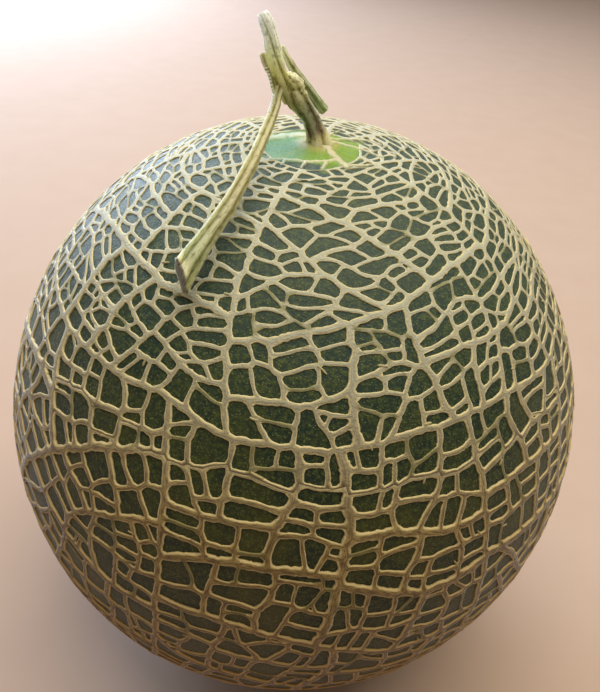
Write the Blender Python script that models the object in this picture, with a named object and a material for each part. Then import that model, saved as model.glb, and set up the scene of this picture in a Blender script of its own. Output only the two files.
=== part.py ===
"""Cantaloupe melon: one netted fruit, and the cut stem that stands in its stalk end.

Two pieces: the fruit, grown whole, with its raised net, and the stem.
Metres, +Z up along the fruit's axis. The origin is the middle of the small
flat spot that the fruit rests on.
"""

import heapq
import math
import random

import bpy
import numpy as np

MM = 0.001

# The fruit: a slightly tall round body, pressed in a little at the stalk end
EQUATOR_RADIUS = 73.5 * MM
POLE_RADIUS = 77.3 * MM
STALK_DIP = 2.7 * MM
STALK_DIP_ANGLE = 0.21         # how far the dip spreads, in radians from the pole
BULGE = 1.2 * MM               # the fruit is a little fuller low on one side
BULGE_SIDE = np.array([-0.61, -0.20, -0.77])
FOOT_RADIUS = 13.0 * MM        # the flat spot that it rests on
MIDDLE = POLE_RADIUS * math.sqrt(1.0 - (FOOT_RADIUS / EQUATOR_RADIUS) ** 2)
FOOT_ANGLE = math.pi - math.atan2(FOOT_RADIUS, MIDDLE)

# The bare green disc round the stalk, which reaches further in front than behind
DISC_RADIUS = 10.5 * MM
DISC_OFFSET = (-1.2 * MM, -2.6 * MM)

# The socket that the stem's foot stands in
GAP = 0.3 * MM
STALK_RADIUS = 2.3 * MM
SOCKET_DEPTH = 4.0 * MM

# The net's pattern: the cords split the skin into cells, the largest first
NET_SEED = 20
CANDIDATES = 8                 # cords drawn for each cell, of which the best is laid
TRIES = 6                      # times that a cell is tried before it waits its turn again
UNEVENNESS = 0.42              # spread of the cells' sizes
SHORTEST_EDGE = 0.85 * MM      # junctions of cords stay this far apart
SMALLEST_CELL = 9.0 * MM ** 2
NARROWEST_CELL = 0.9 * MM
MOST_BOW, MOST_SWAY = 0.12, 0.04
OUTLINE_STEP = 3.0 * MM        # how closely a cell's outline is looked at

# The net's main cords, a little broader and higher than life
NET_CELLS = 372
CORD_HEIGHT = 1.1 * MM
CORD_BROADER = 1.35
CORD_SPACING = 8.0 * MM        # at most this far between points along a cord
FULL_HEIGHT_WIDTH = 0.8 * MM   # cords of at least this half width have the full height
SHARP_ANGLE = math.radians(24)

# The stem, in mm: its knot is where the stalk forks, up and to the left of the socket
RIBS = 5                       # a melon's stalk is five-sided
RIB_DEPTH = 0.10               # ribs and hollows, as a share of the radius
STALK_END = (MIDDLE + POLE_RADIUS - STALK_DIP) / MM
KNOT = (-7.4, -4.2, STALK_END + 12.3)
LIMB_FACING = np.array([0.31, 0.95, 0.10])


def skin(directions, height=0.0):
    """Points of the skin in the given directions from the fruit's middle, raised by height."""
    d = np.asarray(directions, float)
    x, y, z = d[..., 0], d[..., 1], d[..., 2]
    radius = 1.0 / np.sqrt((x * x + y * y) / EQUATOR_RADIUS ** 2 + z * z / POLE_RADIUS ** 2)
    polar = np.arccos(np.clip(z, -1.0, 1.0))
    radius = radius - STALK_DIP * np.exp(-(polar / STALK_DIP_ANGLE) ** 2)
    fade = np.clip((FOOT_ANGLE - polar) / 0.5, 0.0, 1.0)
    radius = radius + BULGE * fade * np.clip(d @ BULGE_SIDE, 0.0, 1.0) ** 3
    points = d * radius[..., None]
    normals = points / np.array([EQUATOR_RADIUS ** 2, EQUATOR_RADIUS ** 2, POLE_RADIUS ** 2])
    normals /= np.linalg.norm(normals, axis=-1, keepdims=True)
    points = points + normals * np.asarray(height)[..., None]
    points[..., 2] = np.maximum(points[..., 2] + MIDDLE, 0.0)
    return points


def unit(v):
    return v / math.sqrt(v @ v)


def towards(polar, azimuth):
    """The direction at a polar angle from +Z and an azimuth from +X."""
    s = math.sin(polar)
    return np.array([s * math.cos(azimuth), s * math.sin(azimuth), math.cos(polar)])


def disc_edge(azimuth):
    """Polar angle of the edge of the bare disc round the stalk."""
    ox, oy = DISC_OFFSET
    along = ox * math.cos(azimuth) + oy * math.sin(azimuth)
    across = ox * math.sin(azimuth) - oy * math.cos(azimuth)
    reach = along + math.sqrt(DISC_RADIUS ** 2 - across ** 2)
    ripple = 1.0 + 0.05 * math.sin(3 * azimuth + 0.6) + 0.04 * math.sin(7 * azimuth)
    return reach * ripple / (POLE_RADIUS - STALK_DIP)


class Net:
    """The net's cords, as arcs that split the skin into cells again and again.

    Each cord runs across one cell, from side to side, so it ends in a T on older
    cords, as the cracks that the net grows in do. The largest cells split first.
    """

    def __init__(self, seed):
        self.draw = random.Random(seed)
        self.points = []       # directions of the junctions
        self.cords = []        # (start, end, bow, sway, half width)
        self.edges = {}        # (a, b) -> (cord, share at a, share at b)
        self.owner = {}        # (a, b) -> the cell on the left of a to b
        self.cells = {}        # cell -> its junctions, counterclockwise from outside
        self.queue = []

    def add_point(self, direction):
        self.points.append(unit(direction))
        return len(self.points) - 1

    def add_cord(self, a, b, bow, sway, half_width):
        self.cords.append((self.points[a], self.points[b], bow, sway, half_width))
        self.set_edge(a, b, len(self.cords) - 1, 0.0, 1.0)

    def set_edge(self, a, b, cord, share_a, share_b):
        self.edges[a, b] = (cord, share_a, share_b)
        self.edges[b, a] = (cord, share_b, share_a)

    def on_cord(self, cord, share):
        """The direction at a share of a cord's length, on its bowed arc."""
        start, end, bow, sway, _ = self.cords[cord]
        normal = np.cross(start, end)
        size = math.sqrt(normal @ normal)
        angle = math.atan2(size, start @ end)
        straight = (math.sin((1 - share) * angle) * start + math.sin(share * angle) * end) / size
        aside = bow * 4 * share * (1 - share) + sway * math.sin(2 * math.pi * share)
        return unit(straight + normal / size * aside * angle)

    def edge_points(self, a, b, step):
        """Directions from a up to b, without b, at most a step apart."""
        cord, share_a, share_b = self.edges[a, b]
        parts = max(1, math.ceil(self.edge_length(a, b) / step))
        shares = [share_a + (share_b - share_a) * j / parts for j in range(1, parts)]
        return [self.points[a]] + [self.on_cord(cord, share) for share in shares]

    def edge_length(self, a, b):
        return math.dist(self.points[a], self.points[b]) * EQUATOR_RADIUS

    def add_cell(self, junctions):
        number = len(self.cells)
        self.cells[number] = junctions
        for a, b in zip(junctions, junctions[1:] + junctions[:1]):
            self.owner[a, b] = number
        return number

    def flatten(self, junctions, step):
        """A cell's outline on the plane that touches the sphere at its middle."""
        outline, places = [], []
        for k, a in enumerate(junctions):
            b = junctions[(k + 1) % len(junctions)]
            run = self.edge_points(a, b, step)
            outline += run
            places += [(k, j / len(run)) for j in range(len(run))]
        outline = np.array(outline)
        middle = unit(outline.mean(axis=0))
        for _ in range(2):
            east = unit(np.cross([0.0, 0.0, 1.0], middle))
            north = np.cross(middle, east)
            depth = outline @ middle
            flat = np.stack([outline @ east, outline @ north], axis=1) / depth[:, None]
            area, centre, spread = outline_moments(flat)
            middle = unit(middle + east * centre[0] + north * centre[1])
        return flat - centre, places, area, spread, middle

    def line_up(self, cell):
        """Queue a cell to be split, the largest for its place first."""
        _, _, area, _, middle = self.flatten(self.cells[cell], 4 * OUTLINE_STEP)
        chance = math.exp(self.draw.gauss(0.0, UNEVENNESS))
        heapq.heappush(self.queue, (-area * crowding(middle) * chance, cell))

    def split_next(self):
        """Split the first cell in the queue, or put it back among smaller ones if it can't be."""
        rank, cell = heapq.heappop(self.queue)
        for _ in range(TRIES):
            parts = self.try_split(cell)
            if parts:
                for part in parts:
                    self.line_up(part)
                return
        if -rank * EQUATOR_RADIUS ** 2 > SMALLEST_CELL:
            heapq.heappush(self.queue, (0.6 * rank, cell))

    def try_split(self, cell):
        """Lay the best of some cords drawn across a cell. None if it would leave a poor cell."""
        flat, places, area, spread, middle = self.flatten(self.cells[cell], OUTLINE_STEP)
        scale = np.array([1.0 / cell_stretch(middle), 1.0])
        sizes, axes = np.linalg.eigh(spread * np.outer(scale, scale))
        best = None
        for _ in range(CANDIDATES):
            turn = self.draw.gauss(0.0, 0.30)
            shift = self.draw.uniform(-0.9, 0.9) * math.sqrt(max(sizes[1], 0.0))
            across = (math.cos(turn) * axes[:, 0] + math.sin(turn) * axes[:, 1]) / scale
            across /= math.hypot(*across)
            cut = find_cut(flat, axes[:, 1] / scale * shift, across)
            if cut:
                merit = part_roundness(flat * scale, cut) + self.draw.uniform(0.0, 0.06)
                merit -= 0.25 * max(abs(lean) for lean in cut_leans(flat, cut))
                if best is None or merit > best[0]:
                    best = (merit, cut)
        if best is None:
            return None
        cut = best[1]
        ends = []
        for i, share, _ in cut:
            edge, part = places[i]
            following = places[(i + 1) % len(flat)]
            next_part = following[1] if following[0] == edge else 1.0
            ends.append(self.landing(self.cells[cell], edge, part + share * (next_part - part)))
        (edge_p, share_p), (edge_q, share_q) = ends
        size = len(self.cells[cell])
        near = (edge_p - edge_q) % size in (1, size - 1) and share_p == share_q == 0.0
        if near or edge_p == edge_q:
            return None
        half_width = cord_half_width(area * EQUATOR_RADIUS ** 2) * self.draw.uniform(0.88, 1.12)
        bend = [lean + self.draw.gauss(0.0, 0.20) for lean in cut_leans(flat, cut)]
        return self.lay_cord(cell, ends, bend, half_width)

    def landing(self, junctions, edge, share):
        """Where a cord may land on an edge: clear of its ends, or on one of them."""
        a = junctions[edge]
        b = junctions[(edge + 1) % len(junctions)]
        length = self.edge_length(a, b)
        clear = SHORTEST_EDGE / max(length, 1e-9)
        if clear < share < 1.0 - clear:
            return edge, share
        if length > 3.0 * SHORTEST_EDGE:
            return edge, min(max(share, clear), 1.0 - clear)
        return (edge, 0.0) if share < 0.5 else ((edge + 1) % len(junctions), 0.0)

    def lay_cord(self, cell, ends, bend, half_width):
        """Split a cell by a cord between two places on its outline, as (edge, share)."""
        old = list(self.cells[cell])
        placed = []
        inserted = []
        for edge, share in ends:
            a, b = old[edge], old[(edge + 1) % len(old)]
            if share == 0.0:
                placed.append((edge, share, a))
                continue
            cord, share_a, share_b = self.edges[a, b]
            along = share_a + (share_b - share_a) * share
            p = self.add_point(self.on_cord(cord, along))
            placed.append((edge, share, p))
            inserted.append((a, b, p))
            self.set_edge(a, p, cord, share_a, along)
            self.set_edge(p, b, cord, along, share_b)
        junctions = []
        for edge, a in enumerate(old):
            junctions.append(a)
            junctions += [p for e, share, p in placed if e == edge and share > 0.0]
        p, q = (p for _, _, p in placed)
        i, j = sorted((junctions.index(p), junctions.index(q)))
        first, second = junctions[i:j + 1], junctions[j:] + junctions[:i + 1]
        if first[0] != p:
            bend = [-bend[1], -bend[0]]
        bow = max(-MOST_BOW, min(MOST_BOW, (bend[0] - bend[1]) / 8.0))
        sway = max(-MOST_SWAY, min(MOST_SWAY, (bend[0] + bend[1]) / (4.0 * math.pi)))
        self.add_cord(first[0], first[-1], bow, sway, half_width)
        if not (self.is_sound(first) and self.is_sound(second)):
            self.cords.pop()
            self.drop_edge(first[0], first[-1])
            for a, b, p in inserted:
                self.drop_edge(a, p)
                self.drop_edge(p, b)
                self.points.pop()
            return None
        for a, b, p in inserted:
            self.drop_edge(a, b)
            neighbour = self.owner.pop((b, a))
            del self.owner[a, b]
            around = self.cells[neighbour]
            around.insert(around.index(b) + 1, p)
            self.owner[b, p] = self.owner[p, a] = neighbour
        self.cells[cell] = first
        for a, b in zip(first, first[1:] + first[:1]):
            self.owner[a, b] = cell
        return cell, self.add_cell(second)

    def drop_edge(self, a, b):
        del self.edges[a, b], self.edges[b, a]

    def is_sound(self, junctions):
        """Whether a cell is wide enough and all of its outline shows from its middle."""
        if len(junctions) < 3:
            return False
        flat, _, area, _, _ = self.flatten(junctions, OUTLINE_STEP)
        following = np.roll(flat, -1, axis=0)
        turns = flat[:, 0] * following[:, 1] - flat[:, 1] * following[:, 0]
        sides = np.linalg.norm(following - flat, axis=1)
        if (turns <= 0.01 * sides * np.linalg.norm(flat, axis=1)).any():
            return False
        return 2.0 * area / sides.sum() * EQUATOR_RADIUS > NARROWEST_CELL


def crowding(direction):
    """How much finer the net is here: finer at the stalk end and in some patches."""
    x, y, z = direction
    polar = math.acos(max(-1.0, min(1.0, z)))
    patch = math.sin(5.1 * x + 1.3) * math.sin(4.3 * y - 0.4)
    patch += 0.6 * math.sin(11.0 * x - 7.0 * z) * math.sin(9.0 * y)
    return 1.0 + 1.1 * math.exp(-(polar / 0.55) ** 2) + 0.30 * patch


def cell_stretch(direction):
    """How much wider than tall the cells are here: wide above the middle, tall below it."""
    return 1.0 + 0.40 * smooth((direction[2] + 0.15) / 0.8) - 0.16 * smooth(-direction[2] / 0.6)


def find_cut(flat, start, across):
    """Where a straight line crosses a flat outline, ahead of and behind a point inside it.

    Each end is given as the outline point before it, the share of the way to
    the next one, and the place.
    """
    beside = (flat - start) @ np.array([-across[1], across[0]])
    ahead = (flat - start) @ across
    hits = {}
    for i in range(len(flat)):
        j = (i + 1) % len(flat)
        if beside[i] * beside[j] < 0.0:
            share = beside[i] / (beside[i] - beside[j])
            reach = ahead[i] + share * (ahead[j] - ahead[i])
            hit = (abs(reach), i, share)
            hits[reach > 0.0] = min(hits.get(reach > 0.0, hit), hit)
    if len(hits) < 2:
        return None
    following = np.roll(flat, -1, axis=0)
    return [(i, share, flat[i] + share * (following[i] - flat[i]))
            for _, i, share in (hits[False], hits[True])]


def part_roundness(flat, cut):
    """How round the narrower of the two parts of a cut outline is: 1 for a circle."""
    (i, share_i, _), (j, share_j, _) = cut
    following = np.roll(flat, -1, axis=0)
    p = flat[i] + share_i * (following[i] - flat[i])
    q = flat[j] + share_j * (following[j] - flat[j])
    worst = 1.0
    for a, b, start, end in ((i, j, p, q), (j, i, q, p)):
        count = (b - a) % len(flat)
        inner = flat[[(a + 1 + k) % len(flat) for k in range(count)]]
        part = np.vstack([start, inner, end])
        after = np.roll(part, -1, axis=0)
        area = abs((part[:, 0] * after[:, 1] - part[:, 1] * after[:, 0]).sum()) / 2.0
        around = np.hypot(*(after - part).T).sum()
        worst = min(worst, 4.0 * math.pi * area / around ** 2)
    return worst


def cut_leans(flat, cut):
    """How far a cut leans, at its start and its end, from meeting the outline squarely."""
    (i, _, p), (j, _, q) = cut
    heading = math.atan2(*(q - p)[::-1])
    leans = []
    for k, turn in ((i, 0.5 * math.pi), (j, -0.5 * math.pi)):
        side = flat[(k + 1) % len(flat)] - flat[k]
        squarely = math.atan2(side[1], side[0]) + turn
        leans.append((squarely - heading + math.pi) % (2 * math.pi) - math.pi)
    return leans


def outline_moments(flat):
    """Area, centre and second moments about it of a flat outline."""
    x, y = flat[:, 0], flat[:, 1]
    u, v = np.roll(x, -1), np.roll(y, -1)
    cross = x * v - u * y
    area = cross.sum() / 2.0
    centre = np.array([((x + u) * cross).sum(), ((y + v) * cross).sum()]) / (6.0 * area)
    xx = ((x * x + x * u + u * u) * cross).sum() / 12.0 / area - centre[0] ** 2
    yy = ((y * y + y * v + v * v) * cross).sum() / 12.0 / area - centre[1] ** 2
    xy = ((x * v + 2 * x * y + 2 * u * v + u * y) * cross).sum() / 24.0 / area
    xy -= centre[0] * centre[1]
    return area, centre, np.array([[xx, xy], [xy, yy]])


def smooth(t):
    t = min(max(t, 0.0), 1.0)
    return t * t * (3.0 - 2.0 * t)


def cord_half_width(cell_area):
    """Half the width of a cord that splits a cell: older cords are broader."""
    return min(0.42 * MM + 0.022 * math.sqrt(cell_area), 0.92 * MM)


def first_cells(net):
    """The net's first cells: three staggered bands between the disc and the flat spot."""
    bands = (5, 6, 5)
    rings = (None, 0.92, 1.95, FOOT_ANGLE)
    fewest = (14, 8, 8, 24)
    starts = [net.draw.uniform(0.0, 2.0 * math.pi) for _ in bands]
    joints = [[(starts[k] + 2 * math.pi * j / n + net.draw.uniform(-0.12, 0.12)) % (2 * math.pi)
               for j in range(n)] for k, n in enumerate(bands)]
    ring_points = []
    for k, polar in enumerate(rings):
        wanted = sorted((joints[k - 1] if k else []) + (joints[k] if k < len(bands) else []))
        azimuths = spread_out(wanted, 2 * math.pi / fewest[k])
        points = []
        for azimuth in azimuths:
            angle = disc_edge(azimuth) if polar is None else polar
            if 0 < k < len(rings) - 1:
                angle += net.draw.uniform(-0.05, 0.05)
            points.append((azimuth, net.add_point(towards(angle, azimuth))))
        ring_points.append(points)
        for (_, a), (_, b) in zip(points, points[1:] + points[:1]):
            bow = parallel_bow(net.points[a], net.points[b])
            net.add_cord(a, b, bow, 0.0, 0.75 * MM if k else 0.5 * MM)
    for k, azimuths in enumerate(joints):
        for azimuth in azimuths:
            upper, lower = (nearest(ring_points[r], azimuth) for r in (k, k + 1))
            net.add_cord(upper, lower, net.draw.uniform(-0.08, 0.08), 0.0, 0.8 * MM)
    for k, azimuths in enumerate(joints):
        marks = sorted(azimuths)
        for left, right in zip(marks, marks[1:] + marks[:1]):
            upper = between(ring_points[k], left, right)
            lower = between(ring_points[k + 1], left, right)
            net.add_cell(lower + upper[::-1])
    disc = net.add_cell([p for _, p in ring_points[0]])
    foot = net.add_cell([p for _, p in ring_points[-1]][::-1])
    for cell in range(sum(bands)):
        net.line_up(cell)
    return disc, foot


def spread_out(azimuths, widest):
    """The azimuths, with more put between them where they are too far apart."""
    result = []
    for a, b in zip(azimuths, azimuths[1:] + [azimuths[0] + 2 * math.pi]):
        parts = max(1, math.ceil((b - a) / widest))
        result += [a + (b - a) * j / parts for j in range(parts)]
    return result


def parallel_bow(a, b):
    """How far the parallel through two directions stands off the straight arc between them."""
    angle = math.acos(min(1.0, float(a @ b)))
    return -angle / 8.0 * a[2] / max(1e-6, math.hypot(a[0], a[1]))


def nearest(points, azimuth):
    def apart(item):
        return abs((item[0] - azimuth + math.pi) % (2 * math.pi) - math.pi)
    return min(points, key=apart)[1]


def between(points, left, right):
    """A ring's points from one azimuth round to another."""
    width = (right - left) % (2 * math.pi)
    run = sorted(((azimuth - left + 1e-6) % (2 * math.pi), p) for azimuth, p in points)
    return [p for offset, p in run if offset <= width + 2e-6]


def grow_net(seed, count):
    """The net, split until it has this many cells; with the disc's and the foot's cells."""
    net = Net(seed)
    disc, foot = first_cells(net)
    while len(net.cells) < count and net.queue:
        net.split_next()
    return net, disc, foot


class Surface:
    """Vertices and faces of one closed mesh as they are made."""

    def __init__(self):
        self.vertices = []
        self.faces = []

    def add(self, points):
        first = len(self.vertices)
        self.vertices += [tuple(float(c) for c in p) for p in points]
        return list(range(first, len(self.vertices)))

    def join(self, outer, inner):
        """Quads between two rings, outwards for rings that run counterclockwise."""
        for i in range(len(outer)):
            j = (i + 1) % len(outer)
            self.faces.append((outer[i], outer[j], inner[j], inner[i]))

    def close(self, ring, middle):
        for i in range(len(ring)):
            self.faces.append((ring[i], ring[(i + 1) % len(ring)], middle))


def cord_lines(net):
    """Points along every cord, shared by the cells on both sides."""
    directions = list(net.points)
    widths = [0.0] * len(directions)
    runs = {}
    for (a, b), (cord, _, _) in net.edges.items():
        half_width = net.cords[cord][4]
        widths[a] = max(widths[a], half_width)
        if (b, a) in runs:
            runs[a, b] = runs[b, a][::-1]
            continue
        new = net.edge_points(a, b, CORD_SPACING)[1:]
        runs[a, b] = list(range(len(directions), len(directions) + len(new)))
        directions += new
        widths += [half_width] * len(new)
    return drift(np.array(directions)), np.array(widths), runs


def drift(directions):
    """The directions, moved a little sideways as the skin grew, so no cord runs straight."""
    polar = np.arccos(np.clip(directions[:, 2], -1.0, 1.0))
    free = np.clip((polar - DISC_RADIUS / POLE_RADIUS * 1.5) / 0.35, 0.0, 1.0)
    free = free * np.clip((FOOT_ANGLE - polar) / 0.35, 0.0, 1.0)
    move = np.zeros_like(directions)
    draw = random.Random(NET_SEED)
    for waves, size in ((9.0, 0.013), (9.0, 0.013), (9.0, 0.013), (19.0, 0.005), (19.0, 0.005)):
        way, push = (np.array([draw.gauss(0.0, 1.0) for _ in range(3)]) for _ in range(2))
        phase = draw.uniform(0.0, 2.0 * math.pi)
        move += size * np.sin(directions @ unit(way) * waves + phase)[:, None] * unit(push)
    moved = directions + move * free[:, None]
    return moved / np.linalg.norm(moved, axis=1, keepdims=True)


def cell_ring(flat, cords, widths, roundness=0.22):
    """The line round a cell where its cords' feet meet the skin.

    It is found on the way from each outline point to the cell's middle, where
    the distances from all of the cell's cords, in half widths and blended so
    that the corners are round, reach 1.
    """
    shares = np.linspace(0.0, 0.9, 46)
    tests = flat[:, None, :] * (1.0 - shares)[None, :, None]
    ends = np.roll(flat, -1, axis=0)
    along = ends - flat
    length = np.maximum((along ** 2).sum(axis=1), 1e-18)
    offset = tests[:, :, None, :] - flat[None, None]
    part = np.clip((offset * along).sum(axis=-1) / length, 0.0, 1.0)
    distance = np.linalg.norm(offset - part[..., None] * along, axis=-1) / widths
    total = 0.0
    for cord in sorted(set(cords)):
        mine = np.array([c == cord for c in cords])
        total = total + np.exp(-distance[..., mine].min(axis=-1) / roundness)
    value = -roundness * np.log(total)
    inside = value >= 1.0
    first = np.where(inside.any(axis=1), inside.argmax(axis=1), len(shares) - 1)
    rows = np.arange(len(flat))
    before, after = value[rows, first - 1], value[rows, first]
    part = np.clip((1.0 - before) / np.maximum(after - before, 1e-9), 0.0, 1.0)
    share = shares[first - 1] + part * (shares[first] - shares[first - 1])
    return flat * (1.0 - share)[:, None]


def build_fruit():
    """The fruit: a skin drawn up into cords, from the bare disc down to the flat spot."""
    net, disc, foot = grow_net(NET_SEED, NET_CELLS)
    directions, widths, runs = cord_lines(net)
    surface = Surface()
    surface.add(skin(directions, CORD_HEIGHT * np.minimum(widths / FULL_HEIGHT_WIDTH, 1.0)))
    for cell, junctions in net.cells.items():
        ring, cords = [], []
        for a, b in zip(junctions, junctions[1:] + junctions[:1]):
            run = [a] + runs[a, b]
            ring += run
            cords += [net.edges[a, b][0]] * len(run)
        outline = directions[ring]
        if cell == disc:
            close_disc(surface, ring, outline)
            continue
        middle = unit(outline.mean(axis=0))
        east = unit(np.cross([0.0, 0.0, 1.0], middle))
        north = np.cross(middle, east)
        flat = np.stack([outline @ east, outline @ north], axis=1) / (outline @ middle)[:, None]
        _, centre, _ = outline_moments(flat)
        half_widths = np.array([net.cords[c][4] for c in cords]) * CORD_BROADER / EQUATOR_RADIUS
        inner = cell_ring(flat - centre, cords, half_widths) + centre
        inward = middle + inner[:, :1] * east + inner[:, 1:] * north
        inward /= np.linalg.norm(inward, axis=1, keepdims=True)
        inner_ring = surface.add(skin(inward))
        hub = np.array([0.0, 0.0, -1.0]) if cell == foot else unit(
            middle + centre[0] * east + centre[1] * north)
        surface.join(ring, inner_ring)
        surface.close(inner_ring, surface.add(skin(hub[None]))[0])
    return surface


def close_disc(surface, ring, outline):
    """The bare disc round the stalk, and the socket for the stem's foot."""
    socket_radius = STALK_RADIUS + GAP
    azimuths = np.arctan2(outline[:, 1], outline[:, 0])
    edge = np.arccos(outline[:, 2])
    rim_angle = socket_radius / (POLE_RADIUS - STALK_DIP)
    last = ring
    for share in (0.16, 0.55, 1.0):
        polar = edge + (rim_angle - edge) * share
        flat = np.stack([np.sin(polar) * np.cos(azimuths),
                         np.sin(polar) * np.sin(azimuths), np.cos(polar)], axis=1)
        following = surface.add(skin(flat))
        surface.join(last, following)
        last = following
    floor = STALK_END * MM - SOCKET_DEPTH
    bottom = surface.add([(surface.vertices[v][0], surface.vertices[v][1], floor) for v in last])
    surface.join(last, bottom)
    surface.close(bottom, surface.add([(0.0, 0.0, floor)])[0])


def make_object(name, surface, material):
    mesh = bpy.data.meshes.new(name)
    mesh.from_pydata(surface.vertices, [], surface.faces)
    mesh.validate()
    mesh.materials.append(material)
    mesh.shade_smooth()
    mesh.set_sharp_from_angle(angle=SHARP_ANGLE)
    made = bpy.data.objects.new(name, mesh)
    bpy.context.scene.collection.objects.link(made)
    return made


def make_material(name, colour, roughness):
    material = bpy.data.materials.new(name)
    material.use_nodes = True
    shader = material.node_tree.nodes["Principled BSDF"]
    shader.inputs["Base Color"].default_value = (*colour, 1.0)
    shader.inputs["Roughness"].default_value = roughness
    shader.inputs["Metallic"].default_value = 0.0
    return material


def curve_through(points, steps):
    """A smooth curve through the points, as a list of places along it."""
    points = [np.array(p, float) for p in points]
    padded = [2 * points[0] - points[1]] + points + [2 * points[-1] - points[-2]]
    result = []
    for p0, p1, p2, p3 in zip(padded, padded[1:], padded[2:], padded[3:]):
        for j in range(steps):
            t = j / steps
            result.append(0.5 * (2 * p1 + (p2 - p0) * t + (2 * p0 - 5 * p1 + 4 * p2 - p3) * t * t
                                 + (3 * p1 - p0 - 3 * p2 + p3) * t ** 3))
    result.append(points[-1])
    return result


def limb(points, steps, foot=(), flatness=1.0):
    """A ribbed length of stalk: a closed tube through points of (x, y, z, radius), in mm.

    The foot's points come before them and are joined straight.
    """
    surface = Surface()
    places = [np.array(p, float) for p in foot] + curve_through(points, steps)
    path = np.array([p[:3] for p in places]) * MM
    radii = np.array([p[3] for p in places]) * MM
    tangents = np.gradient(path, axis=0)
    tangents /= np.linalg.norm(tangents, axis=1, keepdims=True)
    side = np.cross(tangents[0], LIMB_FACING)
    rings = []
    for centre, tangent, radius in zip(path, tangents, radii):
        side = unit(side - tangent * (side @ tangent))
        other = np.cross(tangent, side)
        ring = []
        for j in range(2 * RIBS):
            angle = math.pi * j / RIBS
            reach = radius * (1.0 + (RIB_DEPTH if j % 2 else -RIB_DEPTH))
            ring.append(centre + reach * math.cos(angle) * side
                        + reach * flatness * math.sin(angle) * other)
        rings.append(surface.add(ring))
    for before, after in zip(rings, rings[1:]):
        surface.join(before, after)
    surface.close(rings[0][::-1], surface.add([path[0]])[0])
    surface.close(rings[-1], surface.add([path[-1]])[0])
    return surface


def from_knot(*points):
    """Points given from the knot, as (x, y, z, radius), moved to where the knot is."""
    return [(KNOT[0] + x, KNOT[1] + y, KNOT[2] + z, radius) for x, y, z, radius in points]


def build_stem(material):
    """The stem: a stalk up from the fruit, forked at a knot, and cut at each end."""
    radius = STALK_RADIUS / MM
    foot = [(0.0, 0.0, STALK_END - (SOCKET_DEPTH - GAP) / MM, radius),
            (0.0, 0.0, STALK_END + 0.30, radius), (0.0, 0.0, STALK_END + 0.38, radius + 1.0)]
    stalk = limb([(0.0, 0.0, STALK_END + 0.9, radius + 0.75), (-0.4, -0.2, STALK_END + 2.4, 2.3),
                  (-2.6, -1.3, STALK_END + 5.8, 2.05), (-5.4, -3.0, STALK_END + 9.6, 2.2),
                  (*KNOT, 1.8)], 3, foot)
    knob = limb(from_knot((1.5, 0.4, -1.2, 1.3), (1.5, 0.6, 0.2, 2.3), (1.4, 0.8, 1.8, 2.2),
                          (0.9, 1.0, 3.2, 1.0)), 2)
    pale_arm = limb(from_knot((1.0, 0.5, -2.6, 1.2), (-0.3, 0.2, 1.4, 1.9), (-2.0, 1.2, 5.4, 1.65),
                              (-4.6, 2.4, 12.0, 1.75)), 3, flatness=0.75)
    stub = limb(from_knot((0.0, -0.6, -1.0, 0.9), (-1.9, -0.3, 2.0, 0.9), (-4.2, 0.8, 6.2, 0.8)), 3)
    back_arm = limb(from_knot((-1.8, 5.4, 7.6, 0.8), (-0.2, 2.6, 2.4, 1.2), (3.4, 3.6, -2.2, 1.3),
                              (8.0, 5.4, -6.4, 1.2)), 3)
    long_arm = limb(from_knot((0.0, 0.2, 0.2, 1.5), (-0.9, -3.6, -1.2, 1.05),
                              (-2.4, -8.4, -4.0, 1.0), (-4.6, -17.6, -8.6, 1.2),
                              (-7.6, -26.4, -13.2, 1.5), (-11.6, -34.0, -18.0, 1.85),
                              (-13.4, -37.2, -20.4, 2.2)), 3, flatness=0.72)
    stem = make_object("stem", stalk, material)
    fuse(stem, [make_object("stem_part", shape, material)
                for shape in (knob, pale_arm, stub, back_arm, long_arm)])
    return stem


def fuse(whole, parts):
    """Join parts to an object by one union, so that they are one body."""
    collection = bpy.data.collections.new("parts_to_fuse")
    bpy.context.scene.collection.children.link(collection)
    for part in parts:
        bpy.context.scene.collection.objects.unlink(part)
        collection.objects.link(part)
    union = whole.modifiers.new("union", "BOOLEAN")
    union.operation = "UNION"
    union.solver = "EXACT"
    union.operand_type = "COLLECTION"
    union.collection = collection
    bpy.context.view_layer.update()
    depsgraph = bpy.context.evaluated_depsgraph_get()
    joined = bpy.data.meshes.new_from_object(whole.evaluated_get(depsgraph))
    whole.modifiers.clear()
    whole.data = joined
    joined.shade_smooth()
    joined.set_sharp_from_angle(angle=SHARP_ANGLE)
    for part in parts:
        bpy.data.objects.remove(part, do_unlink=True)
    bpy.data.collections.remove(collection)


def main():
    for old in list(bpy.data.objects):
        bpy.data.objects.remove(old, do_unlink=True)
    rind = make_material("netted_rind", (0.36, 0.35, 0.18), 0.6)
    make_object("fruit", build_fruit(), rind)
    stalk = make_material("dried_stalk", (0.40, 0.40, 0.18), 0.7)
    build_stem(stalk)


main()
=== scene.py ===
"""Cantaloupe melon: the looks of one whole netted fruit and the cut stem that stands on it.

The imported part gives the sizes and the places. The fruit is drawn as a green rind with a
corky net grown over it, and the stem as one dried, ribbed and forked stalk.
"""

import heapq
import math
import random

import bpy
import numpy as np
from mathutils import Matrix


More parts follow.
